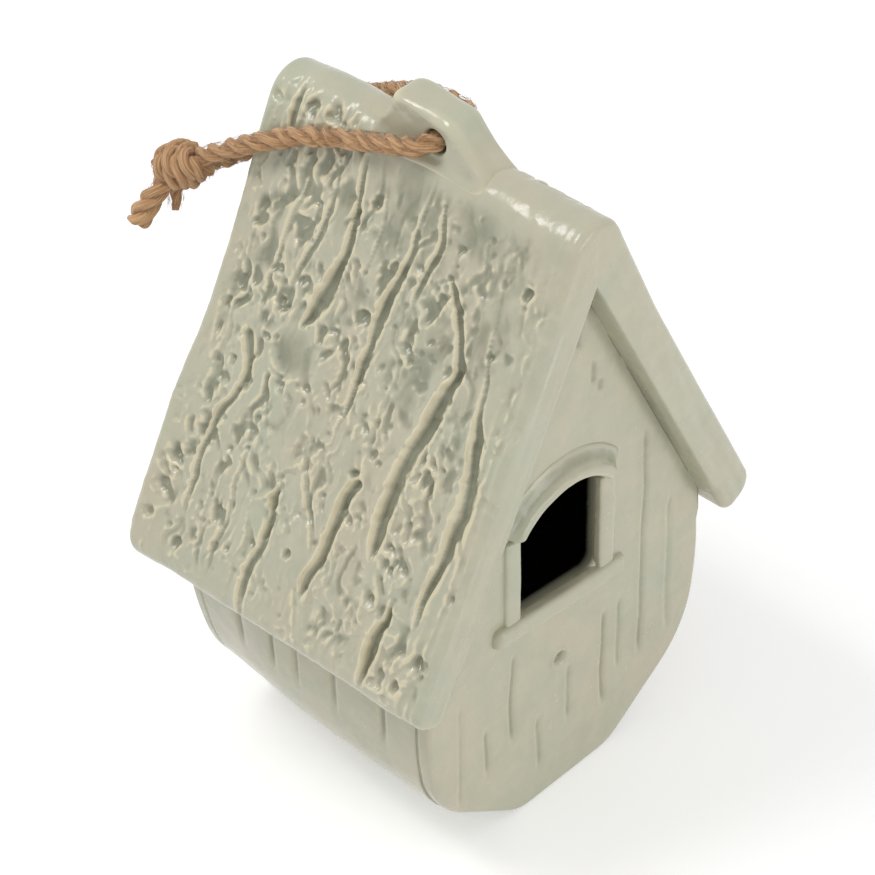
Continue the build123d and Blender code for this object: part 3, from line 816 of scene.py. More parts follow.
# %% The potter's marks, the same on both slopes
gouges = [
    ([(-40, 12, .4), (-41, 26, .7), (-43.5, 36, .9), (-45, 44, 1.2), (-46.5, 50, 2.0),
      (-48.5, 60, 2.6), (-49.3, 70, 2.8), (-49, 80, 2.5), (-48, 90, 2.0), (-47, 100, 1.5),
      (-47.5, 110, .6)], 2.2),
    ([(-21, 13, 1.0), (-25, 18, 1.6), (-29, 25, 1.7), (-32, 32, 1.6), (-33, 38, 1.8),
      (-31.5, 46, 2.6), (-29, 56, 3.0), (-27.5, 62, 3.1), (-26, 72, 3.1), (-25, 82, 2.8),
      (-25.5, 92, 2.3), (-26, 97, .8)], 2.1),
    ([(-6, 6, 1.0), (-6.5, 12, 1.0), (-5, 20, 1.9), (-3.5, 28, 2.1), (-2.5, 35, 2.1),
      (-2, 45, 2.0), (-1.5, 55, 1.5), (-1, 65, 1.1), (-.5, 75, .5)], 1.9),
    ([(17.5, -7, .6), (17, 0, 1.2), (16, 10, 1.5), (15.5, 20, 1.6), (16.5, 28, 1.8), (18, 34, 2.8),
      (20, 40, 3.2), (22.5, 47, 1.2)], 2.1),
    ([(14.5, 0, .5), (13.5, 14, .6), (13.5, 24, .5)], 0.7),
    ([(36, 2, .8), (35.5, 10, 1.2), (37, 20, 1.3), (38, 30, 1.3), (39, 40, 1.2), (38, 50, .6)],
     1.0),
    ([(40, 58, 2.4), (38, 62, 2.2), (36, 68, 1.6), (37.5, 76, 1.4), (40.5, 82, 1.5),
      (42.5, 90, 1.5), (43, 100, 1.4), (42, 110, 1.2), (41, 118, .5)], 1.8),
    ([(28, 84, .5), (27, 92, 1.0), (28, 100, 1.1), (26.5, 106, 1.0), (27, 114, 1.1),
      (28, 122, 1.0), (27.5, 130, .5)], 1.5),
    ([(11.5, 92, 1.0), (13, 98, 1.6), (12.5, 104, 1.7), (12, 112, 1.9), (13.5, 120, 2.0),
      (13.5, 128, 1.8), (13, 134, 1.0)], 1.8),
    ([(-13, 80, 2.2), (-11, 85, 2.0), (-10.5, 92, 1.9), (-10, 100, 1.8), (-8.5, 108, 1.7),
      (-7, 116, 1.4), (-6.5, 120, .5)], 2.3),
    ([(-12.5, 88, .4), (-11.8, 98, .5), (-11, 110, .3)], 0.8),
    ([(-37.5, 104, .6), (-37, 110, 1.6), (-36, 116, 2.2), (-35.5, 124, 2.2), (-35, 132, 1.0)], 2.7),
    ([(-14, 46, .5), (-13, 56, .8), (-13, 66, .8), (-13.5, 76, .5)], 1.2),
    ([(-12.7, -5, .9), (-14.5, 5, 1.5), (-14, 12, 1.5), (-12.5, 20, 1.2), (-12, 28, .5)], 1.7),
    ([(-7.5, -12, .5), (-7, -4, .9), (-6.3, 3, .9), (-6, 9, .8)], 1.2),
    ([(47, -19, .8), (47, -12, 1.5), (46.5, -4, 1.1), (45, 4, .5)], 1.9),
    ([(27, -4, .6), (25, 8, 1.4), (26, 20, 1.5), (29, 30, 1.3), (31, 40, .6)], 1.3),
    ([(8, -3, .6), (6, 8, 1.0), (6.5, 20, .9), (8, 30, .5)], 1.0),
    ([(-38, -2, .5), (-39, 8, .8), (-40, 16, .5)], 0.7),
    ([(-29, -6, .5), (-31, 4, .8), (-33, 12, .4)], 0.7),
    ([(-4.5, 118, 1.2), (-7, 124, 1.4), (-9, 131, 1.2)], 0.6),
    ([(8, 80, .6), (4.5, 87, 1.3), (.5, 94, 1.6), (-3, 99, 1.3), (-6, 106, .5)], 1.4),
    ([(29, 66, .8), (26.5, 72, 1.1), (24, 78, .6)], 1.1),
    ([(31, 61, .5), (27, 63.5, .9), (22.5, 64, 1.0), (18, 61, .5)], 0.9),
]
dents = [
    (53.5, 14, 2), (49, 21, 1.5), (52, 36, 1.5), (49, 45, 2), (52, 52, 1.5), (43, 73, 1.8),
    (55, 84, 1.8), (53, 112, 2.2), (37, 112, 1.8), (54, 122, 2.2), (36.5, 120, 1.5), (42, 126, 2),
    (37, 36, 1.8), (31, 45, 2), (26, 36, 2), (15, 46, 2), (8, 46, 2), (4, 36, 2), (9, 4, 2.2),
    (10, 23, 1.8), (8, 60, 1.8), (-22, 5, 2), (-21, 20, 2), (-43, 23, 1.2), (-48, 6, 2),
    (-41, 28, 1.6), (-13, 126, 1), (-15, 130, 1.4), (-46, 116, 1.8), (-52, 117, 1.8),
    (-41, 127, 2.4), (-48, 127, 1.8), (-8, 64, 1.5), (-10, 15, 1.5), (-2, 18, 1.6), (22.5, 66, 1.6),
    (-11.5, 79, 2.4), (13, 91, 1.5), (51, 103, 2.6), (47, 97, 1.6), (-30, 108, 1.8), (20, 100, 1.6),
    (22, 118, 1.8), (3, 110, 1.5), (-22, 112, 1.4), (33, 92, 1.6), (-18, 60, 1.5), (-17, 72, 1.6),
    (54, -9, 2.3), (40, -11, 2.6), (34, -13, 2.8), (29, -10, 1.6), (51, 2, 2),
]
# Where the bark left most marks, and most crumbs: centre, spread along and down, how dense.
rough_patches = [
    ((30, 25), (26, 26), 1.0), ((2, 42), (16, 16), 0.8), ((-34, 80), (4.5, 22), 1.0),
    ((-8, 65), (5, 5), 0.8), ((-25, 125), (6, 6), 0.6), ((8, 50), (5, 10), 0.7),
    ((44, 60), (10, 40), 0.5), ((30, 110), (24, 20), 0.35), ((-20, 30), (14, 12), 0.5),
    ((-10, 75), (10, 14), 0.45), ((10, 80), (20, 25), 0.3), ((-45, 120), (9, 9), 0.5),
]
crumb_patches = [
    ((-36, 62), (4, 12), 1.0), ((-34, 78), (4, 9), 0.9), ((-34, 100), (7, 10), 1.0),
    ((-9, 64), (4, 6), 0.8), ((-25, 124), (6, 5), 0.6), ((3, 40), (5, 8), 0.6),
    ((36, 40), (5, 9), 0.5), ((51, 103), (4, 6), 0.9), ((22, 92), (5, 8), 0.6),
    ((-13, 48), (3, 8), 0.6), ((4, 100), (4, 8), 0.5), ((12, 24), (5, 6), 0.6),
    ((50, 112), (4, 8), 0.7), ((28, 78), (5, 8), 0.5), ((-15, 34), (4, 9), 0.6),
]
bark_marks = 1050
verge_lines = [(-54.4, 1.2), (-51.8, 0.8), (-56.9, 0.8)]
disc_place = (22.5, 55)
print(len(gouges), "gouges,", len(dents), "dents, up to", bark_marks, "bark marks")


# %% [markdown]
# ### Pressed bark
# Between the gouges the clay carries the print of bark: crumbs, pits and folds, denser in some
# places than in others. It is random noise that is stretched down the slope, because the cracks of
# bark run with its grain.

# %% How dense the bark is
def patches(y, s, places):
    """How strongly a list of soft round patches covers a place, from 0 to 1."""
    total = 0 * y
    for (y0, s0), (wide, tall), dense in places:
        total = total + dense * np.exp(-((y - y0) / wide) ** 2 - ((s - s0) / tall) ** 2)
    return np.clip(total, 0, 1)


def from_disc(y, s):
    """Distance from the middle of the one smooth disc that a thumb pressed flat."""
    return np.hypot(y - disc_place[0], s - disc_place[1])


def roughness_at(y, s):
    """How dense the bark marks are at a place, from 0 to 1."""
    return np.clip(0.57 + patches(y, s, rough_patches), 0, 1) * (1 - bell(from_disc(y, s), 8.5, 6))


print("bark is as dense as", roughness_at(30, 25), "near the ridge and", roughness_at(*disc_place),
      "on the disc")

# %% Scratches, pits and the print
def bark(relief, seed):
    """Short random scratches and pits, denser where the bark pressed harder."""
    random = np.random.default_rng(seed)
    for _ in range(bark_marks):
        y, s = random.uniform(-55, 56), random.uniform(-8, 133)
        length, turn = random.uniform(2.5, 8), random.normal(0.1, 0.42)
        half, deep = random.uniform(0.35, 0.8), random.uniform(0.35, 1.0)
        pit, keep = random.uniform(), random.uniform()
        if keep > roughness_at(y, s):
            continue
        if pit < 0.3:
            relief.dent(y, s, half * 1.7, deep * 0.8, rim=0.5)
            continue
        dy, ds = length / 2 * math.sin(turn), length / 2 * math.cos(turn)
        bow = random.normal(0, 0.5)
        relief.gouge([(y - dy, s - ds, 0.25), (y + bow, s, half), (y + dy, s + ds, 0.25)],
                     deep * 1.15, lip=0.55, ragged=0.6)


def bark_print(relief, seed):
    """Ragged hollows with low lips: a stretched and warped noise, cut off at two heights."""
    place = relief.place
    warp = points_of(noise(place, 6, seed + 11), noise(place, 6, seed + 12), 0 * place[..., 0])
    grain = (place + 2.2 * warp) * (1, 0.42, 1)
    cells = noise(grain, 2.1, seed + 13) + 0.45 * noise(grain, 1.0, seed + 14)
    hollow = smooth(cells, 0.20, 0.46)
    lip = bell(cells - 0.06, 0.13)
    cuts = bell(noise(grain * (1, 0.6, 1), 3.6, seed + 15), 0.05)
    folds = noise(grain, 4.5, seed + 16)
    y, s = np.moveaxis(place[..., :2] + 0.8 * warp[..., :2], -1, 0)
    dense = roughness_at(place[..., 0], place[..., 1])
    blots = smooth(noise(place * (1, 0.7, 1), 8, seed + 19), -0.12, 0.25)
    streak = noise((place + 3 * warp) * (1, 0.16, 1), 4.2, seed + 20)
    printed = dense * blots * (0.30 * lip - 1.0 * hollow) + dense * (0.35 * folds - 0.30 * cuts)
    printed -= (0.15 + 0.45 * dense) * bell(streak, 0.09)
    printed += (0.10 + 0.25 * dense) * bell(streak + 0.2, 0.12)
    slanted = points_of(0.8 * y + 0.6 * s, 0.45 * (0.8 * s - 0.6 * y), 0 * y)
    crumbs = noise(slanted, 1.7, seed + 17) + 0.35 * noise(slanted, 0.9, seed + 18)
    crumbled = patches(place[..., 0], place[..., 1], crumb_patches)
    return printed + crumbled * (0.60 * smooth(crumbs, 0.12, 0.42)
                                 - 1.25 * smooth(-crumbs, 0.08, 0.38))


bark_sample = bark_print(Relief(np.arange(0, 20, 0.5), np.arange(20, 40, 0.5), 21), 21)
print("print of the bark:", bark_sample.min().round(1), "to", bark_sample.max().round(1), "mm")

# %% All marks of one slope
def slope_relief(along, down, seed):
    """All marks of one slope, the low swells of hand-rolled clay, and the lines at the verge."""
    relief = Relief(along, down, seed)
    y, s = relief.place[..., 0], relief.place[..., 1]
    inland = 1 - 0.75 * smooth(y, 50, 56)
    inland *= 1 - 0.8 * smooth(s, slope_length - 11, slope_length - 5)
    inland *= 1 - 0.85 * fades(s, -12, 3) * fades(y, 14, 26)
    relief.height += bark_print(relief, seed) * inland
    for places, depth in gouges:
        relief.gouge(places, depth)
    for across, below, radius in dents:
        relief.dent(across, below, radius, 0.55 * radius)
    bark(relief, seed)
    crust = noise(relief.place * (1, 0.5, 1), 1.7, seed + 2)
    knobs = noise(relief.place, 3.4, seed + 3)
    relief.height += roughness_at(y, s) * inland * (0.16 * crust + 0.28 * knobs)
    relief.height += 0.40 * noise(relief.place, 24, seed + 4)
    relief.height += (0.15 + 0.20 * inland) * noise(relief.place * (1, 0.6, 1), 7, seed + 5)
    for line_y, deep in verge_lines:
        waver = 0.5 * noise(relief.place * (0, 1, 0), 30, seed + 6)
        broken = noise(relief.place * (0, 1, 0), 40, seed + 8)
        length = 0.35 + 0.65 * smooth(s + 40 * broken, 20, 60)
        relief.height -= deep * length * bell(y - line_y - waver, 1.2)
        # A painted highlight line beside each verge line.
        lit = 0.4 * deep * length * bell(y - line_y - waver - 1.3, 0.6)
        relief.thin_glaze_and_highlight = np.maximum(relief.thin_glaze_and_highlight, lit)
    thumb = from_disc(y, s)
    relief.height -= 1.1 * bell(thumb, 7.6, 4) * smooth(s, 46, 60)
    relief.height += 0.45 * bell(thumb - 8.6, 1.0) * smooth(s + y - disc_place[0], 54, 62)
    return blurred(relief.height[..., None], 0.65, (False, False))[..., 0], relief.thin_glaze_and_highlight


print("verge lines:", len(verge_lines))

# %% [markdown]
# ### The slab as one closed skin
# The section is a closed loop of points. Carried along the ridge it gives the grid's rows. At each
# verge the loop shrinks along a quarter circle and then closes over the end face towards the
# middle of the slab's thickness.

# %% Carry the section along the ridge
verge_radius = 2.5
cap_rows = 7


def ridge_swell(y):
    """The ridge climbs towards the back of the house, as its two slabs were pushed together."""
    return -0.4 + 2.3 * smooth(y, -22, 34) - 1.4 * smooth(y, 40, 58)


def verge_flare(y, s):
    """The rear verge curls out and up a little on its lower half."""
    return smooth(y, 42, 57) * bell(s - 104, 34, 4)


def verge_rows(cell):
    """The rows of the grid: places along the ridge, how far each shrinks, and how far it closes."""
    body = np.linspace(-half_depth + verge_radius, half_depth - verge_radius,
                       int(2 * (half_depth - verge_radius) / cell))
    bend = np.linspace(0, math.pi / 2, 6)[1:]
    y_side = np.concatenate([half_depth - verge_radius * (1 - np.sin(bend)),
                             np.full(cap_rows, half_depth)])
    in_side = np.concatenate([verge_radius * (1 - np.cos(bend)), np.full(cap_rows, verge_radius)])
    cap_side = np.concatenate([np.zeros(len(bend)), np.linspace(0, 1, cap_rows + 1)[1:]])
    both = ((-y_side, body, y_side), (in_side, 0 * body, in_side), (cap_side, 0 * body, cap_side))
    return [np.concatenate([front[::-1], middle, back]) for front, middle, back in both]


def closing_sections(loop, outward, soffit, inset, cap):
    """The section of every row: shrunk by inset, and drawn to the slab's middle by cap."""
    sharper = np.where(soffit, 0.3, 1.0)
    section = loop[None] - (inset[:, None] * sharper)[..., None] * outward[None]
    foot = gable_height + 0.3 * inset[:, None] / math.cos(pitch_angle)
    climb = np.linspace(0, 1, mitre_count + 1)[None, :-1]
    section[:, -mitre_count:, 0] = 0
    section[:, -mitre_count:, 1] = foot + (ridge_height - inset[:, None] - foot) * climb
    spine = on_slope(np.clip(down_of(loop), shoulder_down + 4, slope_length - 6), slab_thick / 2)
    spine[:, 0] = np.maximum(spine[:, 0], 2.5)
    return section + (spine[None] - section) * cap[:, None, None]


print("rows that close a slab:", len(verge_rows(0.52)[0]))

# %% One slab, with its bark
def roof_slab(name, facing, seed, cell=0.52):
    """A slope with its bark. facing is 1 on the left; the right slab is turned half round.

    A point is its place in the section, plus the height of the marks along the outward direction,
    plus the climb of the ridge and the curl of the rear verge.
    """
    loop, outward, ridge_end, face_end, eave_count = slab_section(cell)
    y, inset, cap = verge_rows(cell)
    outer = face_end + eave_count
    soffit = np.arange(len(loop)) > outer + 8
    section = closing_sections(loop, outward, soffit, inset, cap)

    ridge_run = np.arange(ridge_end) * cell
    down_face = down_of(loop[:outer])
    down_face[:ridge_end] = shoulder_down - (ridge_run[-1] - ridge_run)
    down_face = np.maximum.accumulate(down_face + 1e-6 * np.arange(outer))
    height, thin_glaze_and_highlight = slope_relief(y, down_face, seed)
    fade = smooth(np.arange(outer) * cell, 0.5, 8)
    fade = fade * fades(np.arange(outer), face_end + eave_count * 0.55, outer)
    height *= fade[None] * fades(cap, 0, 0.3)[:, None]
    if facing < 0:
        height *= (0.65 - 0.5 * smooth(y, 40, 48))[:, None]
    world_y = facing * y[:, None]
    if facing > 0:
        height += 1.7 * verge_flare(world_y, down_face[None]) * (1 - cap)[:, None]
    section[:, :outer] += height[..., None] * outward[None, :outer]

    x, z = section[..., 0], section[..., 1]
    z = z + ridge_swell(world_y) * bell(x, 17) * smooth(z, 185, 205)
    y_grid = y[:, None] + 0 * x
    down_now = down_of(section)
    if facing > 0:
        y_grid += 1.5 * verge_flare(world_y, down_now)
    grid = points_of(-facing * x, facing * y_grid, z)
    layers = noise(points_of(0 * x, down_now * 0.12, section @ slope_out), 2.6, seed + 9)
    ends = smooth(cap, 0, 0.35)[:, None] * np.sign(y)[:, None] * facing
    grid[..., 1] += 0.30 * layers * ends

    face_only = fades(cap, 0, 0.3)[:, None]
    # Painted shade: the soffit under the roof is darkened with the pooled tone.
    painted_soffit_shade = soffit[None] * fades(cap, 0, 0.2)[:, None]
    sharp = smooth(np.abs(x), 1.5, 6) * face_only
    sharp = sharp * (1 - 0.75 * smooth(np.abs(y), 53, 56))[:, None] * (1 - painted_soffit_shade)
    over_lips, pooling_and_uphill_shade = np.zeros(x.shape), np.zeros(x.shape)
    # Cream on gouge lips and beside the verge lines: thin glaze and painted highlights.
    over_lips[:, :outer] = thin_glaze_and_highlight * fade[None] * 0.16
    # Painted shade darkening the upper slope towards the ridge, over random pooled glaze.
    pooling_and_uphill_shade[:, :outer] = 0.10 + 0.34 * fades(down_face, 25, 85)[None]
    pooling_and_uphill_shade[:, :outer] += 0.28 * noise(grid[:, :outer] * (1, 1, 0.6), 9, seed + 31)
    pooling_and_uphill_shade *= smooth(np.abs(x), 3, 9) * face_only
    pooling_and_uphill_shade *= fades(np.abs(y), 46, 54)[:, None]
    return clay_piece(name, name.replace("carved_", ""), grid, cell,
                      inner=(np.abs(grid[..., 1]) < 44.5) & soffit[None], sharp=sharp,
                      pool_and_shade=0.75 * painted_soffit_shade + pooling_and_uphill_shade, thin_glaze_and_highlight=over_lips)


def crease(piece, keep):
    """Mark edges as sharp where keep says so for both of their ends."""
    mesh = piece.data
    co = np.empty(3 * len(mesh.vertices))
    mesh.vertices.foreach_get("co", co)
    ends = np.empty(2 * len(mesh.edges), np.int32)
    mesh.edges.foreach_get("vertices", ends)
    chosen = keep(co.reshape(-1, 3))[ends.reshape(-1, 2)].all(axis=1)
    mesh.attributes.new("sharp_edge", "BOOLEAN", "EDGE").data.foreach_set("value", chosen)


left_slope = roof_slab("carved_roof_left", 1, seed=21)
right_slope = roof_slab("carved_roof_right", -1, seed=57)
for slope in (left_slope, right_slope):
    crease(slope, lambda co: np.abs(co[:, 0]) < 1e-6)

# %% [markdown]
# ## The belly and its two gable walls
# The belly is one slab bent into a U, and the gable walls close it. All three follow the same
# outline, which is worked out once: flat foot, flared bottom, round bilge, and a side that is
# nearly upright.

# %% The outline that belly and walls share
wall = 5.0
foot_half, chine_radius = 15.5, 16.0
flare_angle, flare_length = 35.0, 24.0
bilge_radius, bilge_angle = 34.0, 45.0
belly_radius, belly_angle = 110.0, 14.0
upright_length = 13.5
body_half_depth = 49.85
rim_radius = 1.6


def way_at(degrees):
    """The direction that many degrees up from level."""
    return np.array((math.cos(math.radians(degrees)), math.sin(math.radians(degrees))))


def belly_outline(inset, spacing):
    """Right half of the U, from the middle of the foot up to the underside of the roof.

    Arcs and straights follow each other, each from the end and the heading of the one before. For
    a line further in, every arc has its radius less the inset.
    """
    points = [points_of(np.linspace(0, foot_half, int(foot_half / spacing) + 1), inset)]
    heading = 0.0
    for radius, turn, straight in ((chine_radius, flare_angle, flare_length),
                                   (bilge_radius, bilge_angle, 0),
                                   (belly_radius, belly_angle, 0)):
        angle = np.radians(np.linspace(heading, heading + turn,
                                       int(math.radians(turn) * radius / spacing) + 2))
        bow = points_of(np.sin(angle) - np.sin(angle[0]), np.cos(angle[0]) - np.cos(angle))
        points.append(points[-1][-1] + (radius - inset) * bow[1:])
        heading += turn
        if straight:
            steps = np.linspace(0, straight, int(straight / spacing) + 1)[1:]
            points.append(points[-1][-1] + steps[:, None] * way_at(heading))
    start, way, lean = points[-1][-1], way_at(heading), math.tan(pitch_angle)
    climb = (gable_height - start[0] * lean - start[1]) / (way[1] + way[0] * lean)
    steps = np.linspace(0, climb, int(upright_length / spacing) + 1)[1:]
    points.append(start + steps[:, None] * way)
    return np.concatenate(points)


def paddled(grid):
    """The belly was beaten rounder towards its lower back: its sides draw in there."""
    x, y, z = np.moveaxis(grid, -1, 0)
    pull = smooth(y, -5, 52) * fades(z, 28, 74) * smooth(np.abs(x), 12, 50)
    return points_of(x * (1 - 0.075 * pull), y, z + 1.5 * pull)


def swells(grid, outward, amount=0.35):
    """Low hand-made swells, the same on every piece of the body, along the given directions."""
    height = amount * noise(grid, 26, 91) + 0.3 * amount * noise(grid, 9, 92)
    return grid + height[..., None] * outward


print("the U meets the roof", belly_outline(0, 1)[-1].round(1), "mm out and up")

# %% [markdown]
# ### The belly shell
# A wall is two sheets of points, outer and inner, with the same rows and columns. A face is kept
# or left out of both, and every edge with a kept face on one side only gets a strip that joins the
# sheets. That closes the ends, and gives the drain holes in the foot their walls.

# %% Two sheets, a rim and round holes
board_lines = [(29, 1.0), (15.3, 1.2), (4.9, .9), (-11, 1.0), (-31, 1.1)]
drain_radius, drain_places = 2.5, (-28, 0, 28)


def two_sheets(keep):
    """Faces of both sheets and of the strips between them, as indices into outer + inner."""
    rows, cols = keep.shape[0] + 1, keep.shape[1] + 1
    index = np.arange(rows * cols).reshape(rows, cols)
    outer = quads_of(rows, cols)[keep.ravel()]
    inner = outer[:, ::-1] + rows * cols
    strips = []
    padded = np.pad(keep, 1)
    for one, two, ends in ((padded[1:-1, :-1], padded[1:-1, 1:], (index[:-1], index[1:])),
                           (padded[:-1, 1:-1], padded[1:, 1:-1], (index[:, 1:], index[:, :-1]))):
        for here, there, (a, b) in ((one, two, ends), (two, one, ends[::-1])):
            edge = ~here & there
            first, second = a[edge], b[edge]
            strips.append(points_of(second, first, first + rows * cols, second + rows * cols))
    return np.concatenate([outer, inner, *strips])


def round_holes(x, y):
    """Pull the grid round each drain hole so that a square ring of its lines becomes a circle."""
    for place in drain_places:
        dx, dy = x, y - place
        square = np.maximum(np.abs(dx), np.abs(dy))
        circle = np.maximum(np.hypot(dx, dy), 1e-9)
        blend = fades(square, drain_radius, 2.2 * drain_radius)
        factor = 1 + (square / circle - 1) * blend
        x, y = x * factor, place + dy * factor
    return x, y


print(len(drain_places), "drain holes,", 2 * drain_radius, "mm wide")

# %% The bent slab
def belly_shell(spacing=0.9):
    """Outer and inner sheet of the bent slab, its board lines pressed in, and the faces to keep."""
    half = [belly_outline(inset, spacing) for inset in (0, wall)]
    lines = [np.concatenate([h[:0:-1] * (-1, 1), h]) for h in half]
    hole_ends = [place + side * drain_radius for place in drain_places for side in (-1, 1)]
    inner_end = body_half_depth - wall
    rows = np.unique(np.concatenate([np.arange(-inner_end, inner_end, spacing), [inner_end],
                                     hole_ends]))
    sheets = []
    for line, outer in zip(lines, (True, False)):
        x, y = np.meshgrid(line[:, 0], rows)
        z = 0 * x + line[:, 1]
        out = to_the_right(np.gradient(line, axis=0))
        outward = points_of(out[:, 0], 0.0, out[:, 1])[None]
        flat = np.abs(x) < foot_half - 1
        hole_x, hole_y = round_holes(x, y)
        x, y = np.where(flat, hole_x, x), np.where(flat, hole_y, y)
        grid = points_of(x, y, z)
        if outer:
            grid = swells(grid, outward * smooth(z, 6, 12)[..., None])
            press = np.zeros_like(z)
            for place, deep in board_lines:
                waver = 0.8 * noise(grid * (0, 0, 1), 18, 95)
                reach = smooth(z, 40, 52) * (x < 0) + smooth(z, 44, 58) * (x > 0)
                press -= deep * reach * bell(y - place - waver, 0.95)
            grid = grid + press[..., None] * outward
        sheets.append(paddled(grid))
    middle_x = (lines[0][:-1, 0] + lines[0][1:, 0]) / 2
    middle_y = (rows[:-1] + rows[1:]) / 2
    keep = np.ones((len(middle_y), len(middle_x)), bool)
    for place in drain_places:
        hole = (np.abs(middle_y - place) < drain_radius)[:, None]
        keep &= ~(hole & (np.abs(middle_x) < drain_radius)[None])
    return sheets, keep


def make_belly():
    """The shell as one mesh: both sheets, their strips, and only the points that are used."""
    sheets, keep = belly_shell()
    quads = two_sheets(keep)
    points = np.concatenate([sheet.reshape(-1, 3) for sheet in sheets])
    outward = winding(sheets[0].reshape(-1, 3), quads_of(*sheets[0].shape[:2]))
    marks = glaze_marks(sheets[0], 0.9, (False, False), outward)
    used = np.unique(quads)
    marks = {key: np.stack([value, 0 * value]).ravel()[used] for key, value in marks.items()}
    renumber = np.zeros(len(points), int)
    renumber[used] = np.arange(len(used))
    piece = dress("belly", points[used] * MM, renumber[quads], [sage_glaze, dark_inside_shade], marks,
                  inner=used >= len(points) // 2)
    return fired_on(piece, "body_shell")


make_belly()

# %% [markdown]
# ### The gable walls
# A wall is a ring of rays. Each ray runs from the rolled edge of the door to the rim of the wall,
# and the grid goes on round the rim, back over the inner face and through the door's edge, so the
# skin closes on itself. The back wall has no door: its rays start at one point.

# %% The door and the wall in outline
door_x, door_half = -4.7, 17.25
door_sill, door_spring, door_rise, door_corner = 79.5, 113.5, 7.5, 4.0
door_roll = 1.6
sill_tilt = math.radians(5)
head_radius = (door_half ** 2 + door_rise ** 2) / (2 * door_rise)
head_centre = (door_x, door_spring + door_rise - head_radius)
front_hub, back_hub = (door_x, 98.0), (0.0, 96.0)
board_scores = [(34.0, 30, 116, .55), (16.8, 20, 57, .6), (24.0, 30, 58, .45), (-24.0, 33, 66, .6),
                (-35.5, 27, 45, .5), (-12.0, 13, 34, .45), (1.6, 24, 46, .45), (46.0, 32, 84, .35),
                (-46.0, 20, 62, .35)]
pooled_nicks = [(2.8, 166, 12, 1.4, -.5), (9.5, 150, 9, 1.3, -.6), (12.6, 145.5, 5, 1.4, -.5)]
dimple_x, dimple_height, dimple_radius = -3.8, 52.5, 2.4


def door_outline():
    """The door's edge: its head is a shallow arch, its two lower corners are round."""
    reach = math.asin(door_half / head_radius)
    angle = np.linspace(reach, -reach, 60)
    head = points_of(head_radius * np.sin(angle), head_centre[1] + head_radius * np.cos(angle))
    corner = np.linspace(0, math.pi / 2, 14)
    low = door_sill + door_corner
    left = points_of(-door_half + door_corner * (1 - np.cos(corner)),
                     low - door_corner * np.sin(corner))
    right = left[::-1] * (-1, 1)
    loop = np.concatenate([head, left, right])
    tilt = fades(loop[:, 1], low, low + 12) * math.tan(sill_tilt) * loop[:, 0]
    return loop + (door_x, 0) - points_of(0 * tilt, tilt)


def by_angle(outline, hub):
    """The order of the outline's points by their angle about the hub, and the sorted angles."""
    angle = np.arctan2(*np.transpose(outline - hub)[::-1])
    order = np.argsort(angle)
    return order, angle[order]


def across_outline(outline, hub, angles):
    """Where rays from the hub, at rising angles, cross the straight chords of an outline.

    With p and q the ends of a chord as seen from the hub, a ray r crosses it at the distance
    p x (q - p) over r x (q - p).
    """
    order, angle = by_angle(outline, hub)
    away = outline[order] - hub
    wanted = np.searchsorted(angle, angles) - 1
    ray = points_of(np.cos(angles), np.sin(angles))
    start = away[wanted]
    chord = np.roll(away, -1, axis=0)[wanted] - start
    return hub + ray * (crossed(start, chord) / crossed(ray, chord))[:, None]


def outward_of(line):
    """Directions that point out of a closed outline which runs anticlockwise."""
    return to_the_right(np.roll(line, -1, axis=0) - np.roll(line, 1, axis=0))


print("door", 2 * door_half, "mm wide and", door_spring + door_rise - door_sill, "mm high")

# %% [markdown]
# ### Marks on the front wall
# The front was scored to look like boards before it was glazed, and glaze has gathered in a few
# short nicks under the peak. A small dimple under the door is the seat for a perch peg. All of
# them are heights, added to the wall as the bark is added to the roof.

# %% Marks on the front wall
def upright_nick(x, z, amount, across, foot, tall, wide):
    """An amount spread as a short upright nick: a bell across, with soft ends."""
    body = smooth(z, foot - wide, foot) * fades(z, foot + tall * 0.5, foot + tall)
    return amount * body * bell(x - across, wide)


def front_relief(x, z):
    """Board lines, nicks and the seat of a perch peg, as heights out of the wall in millimetres.

    A board line is a groove with a low lip on its left, and wavers a little on its way up.
    """
    place = points_of(x, 0 * x, z)
    height = np.zeros_like(x)
    for across, low, high, deep in board_scores:
        waver = 0.7 * noise(place * (0, 0, 1), 16, 71 + int(across))
        reach = smooth(z, low - 3, low + 4) * fades(z, high - 4, high + 3)
        height -= deep * reach * (1.5 * bell(x - across - waver, 1.1)
                                  - 0.5 * bell(x - across - waver + 2.2, 1.2))
    for *nick, rise in pooled_nicks:
        height += upright_nick(x, z, rise, *nick)
    away = np.hypot(x - dimple_x, z - dimple_height)
    height += 0.7 * bell(away - dimple_radius - 0.9, 0.8)
    height -= 1.6 * fades(away, dimple_radius - 1.5, dimple_radius + 0.4)
    return height


print(len(board_scores), "board lines and", len(pooled_nicks), "nicks")

# %% A wall as a ring of rays
def wall_outline(spacing):
    """The whole wall: the U, and above it the two lines along the undersides of the roof."""
    half = belly_outline(0, spacing)
    peak = np.array((0, gable_height))
    steps = np.linspace(0, 1, 130)[1:-1, None]
    slope = half[-1] + (peak - half[-1]) * steps
    right = np.concatenate([half, slope])
    left = right[1:][::-1] * (-1, 1)
    return np.concatenate([right, [peak], left])


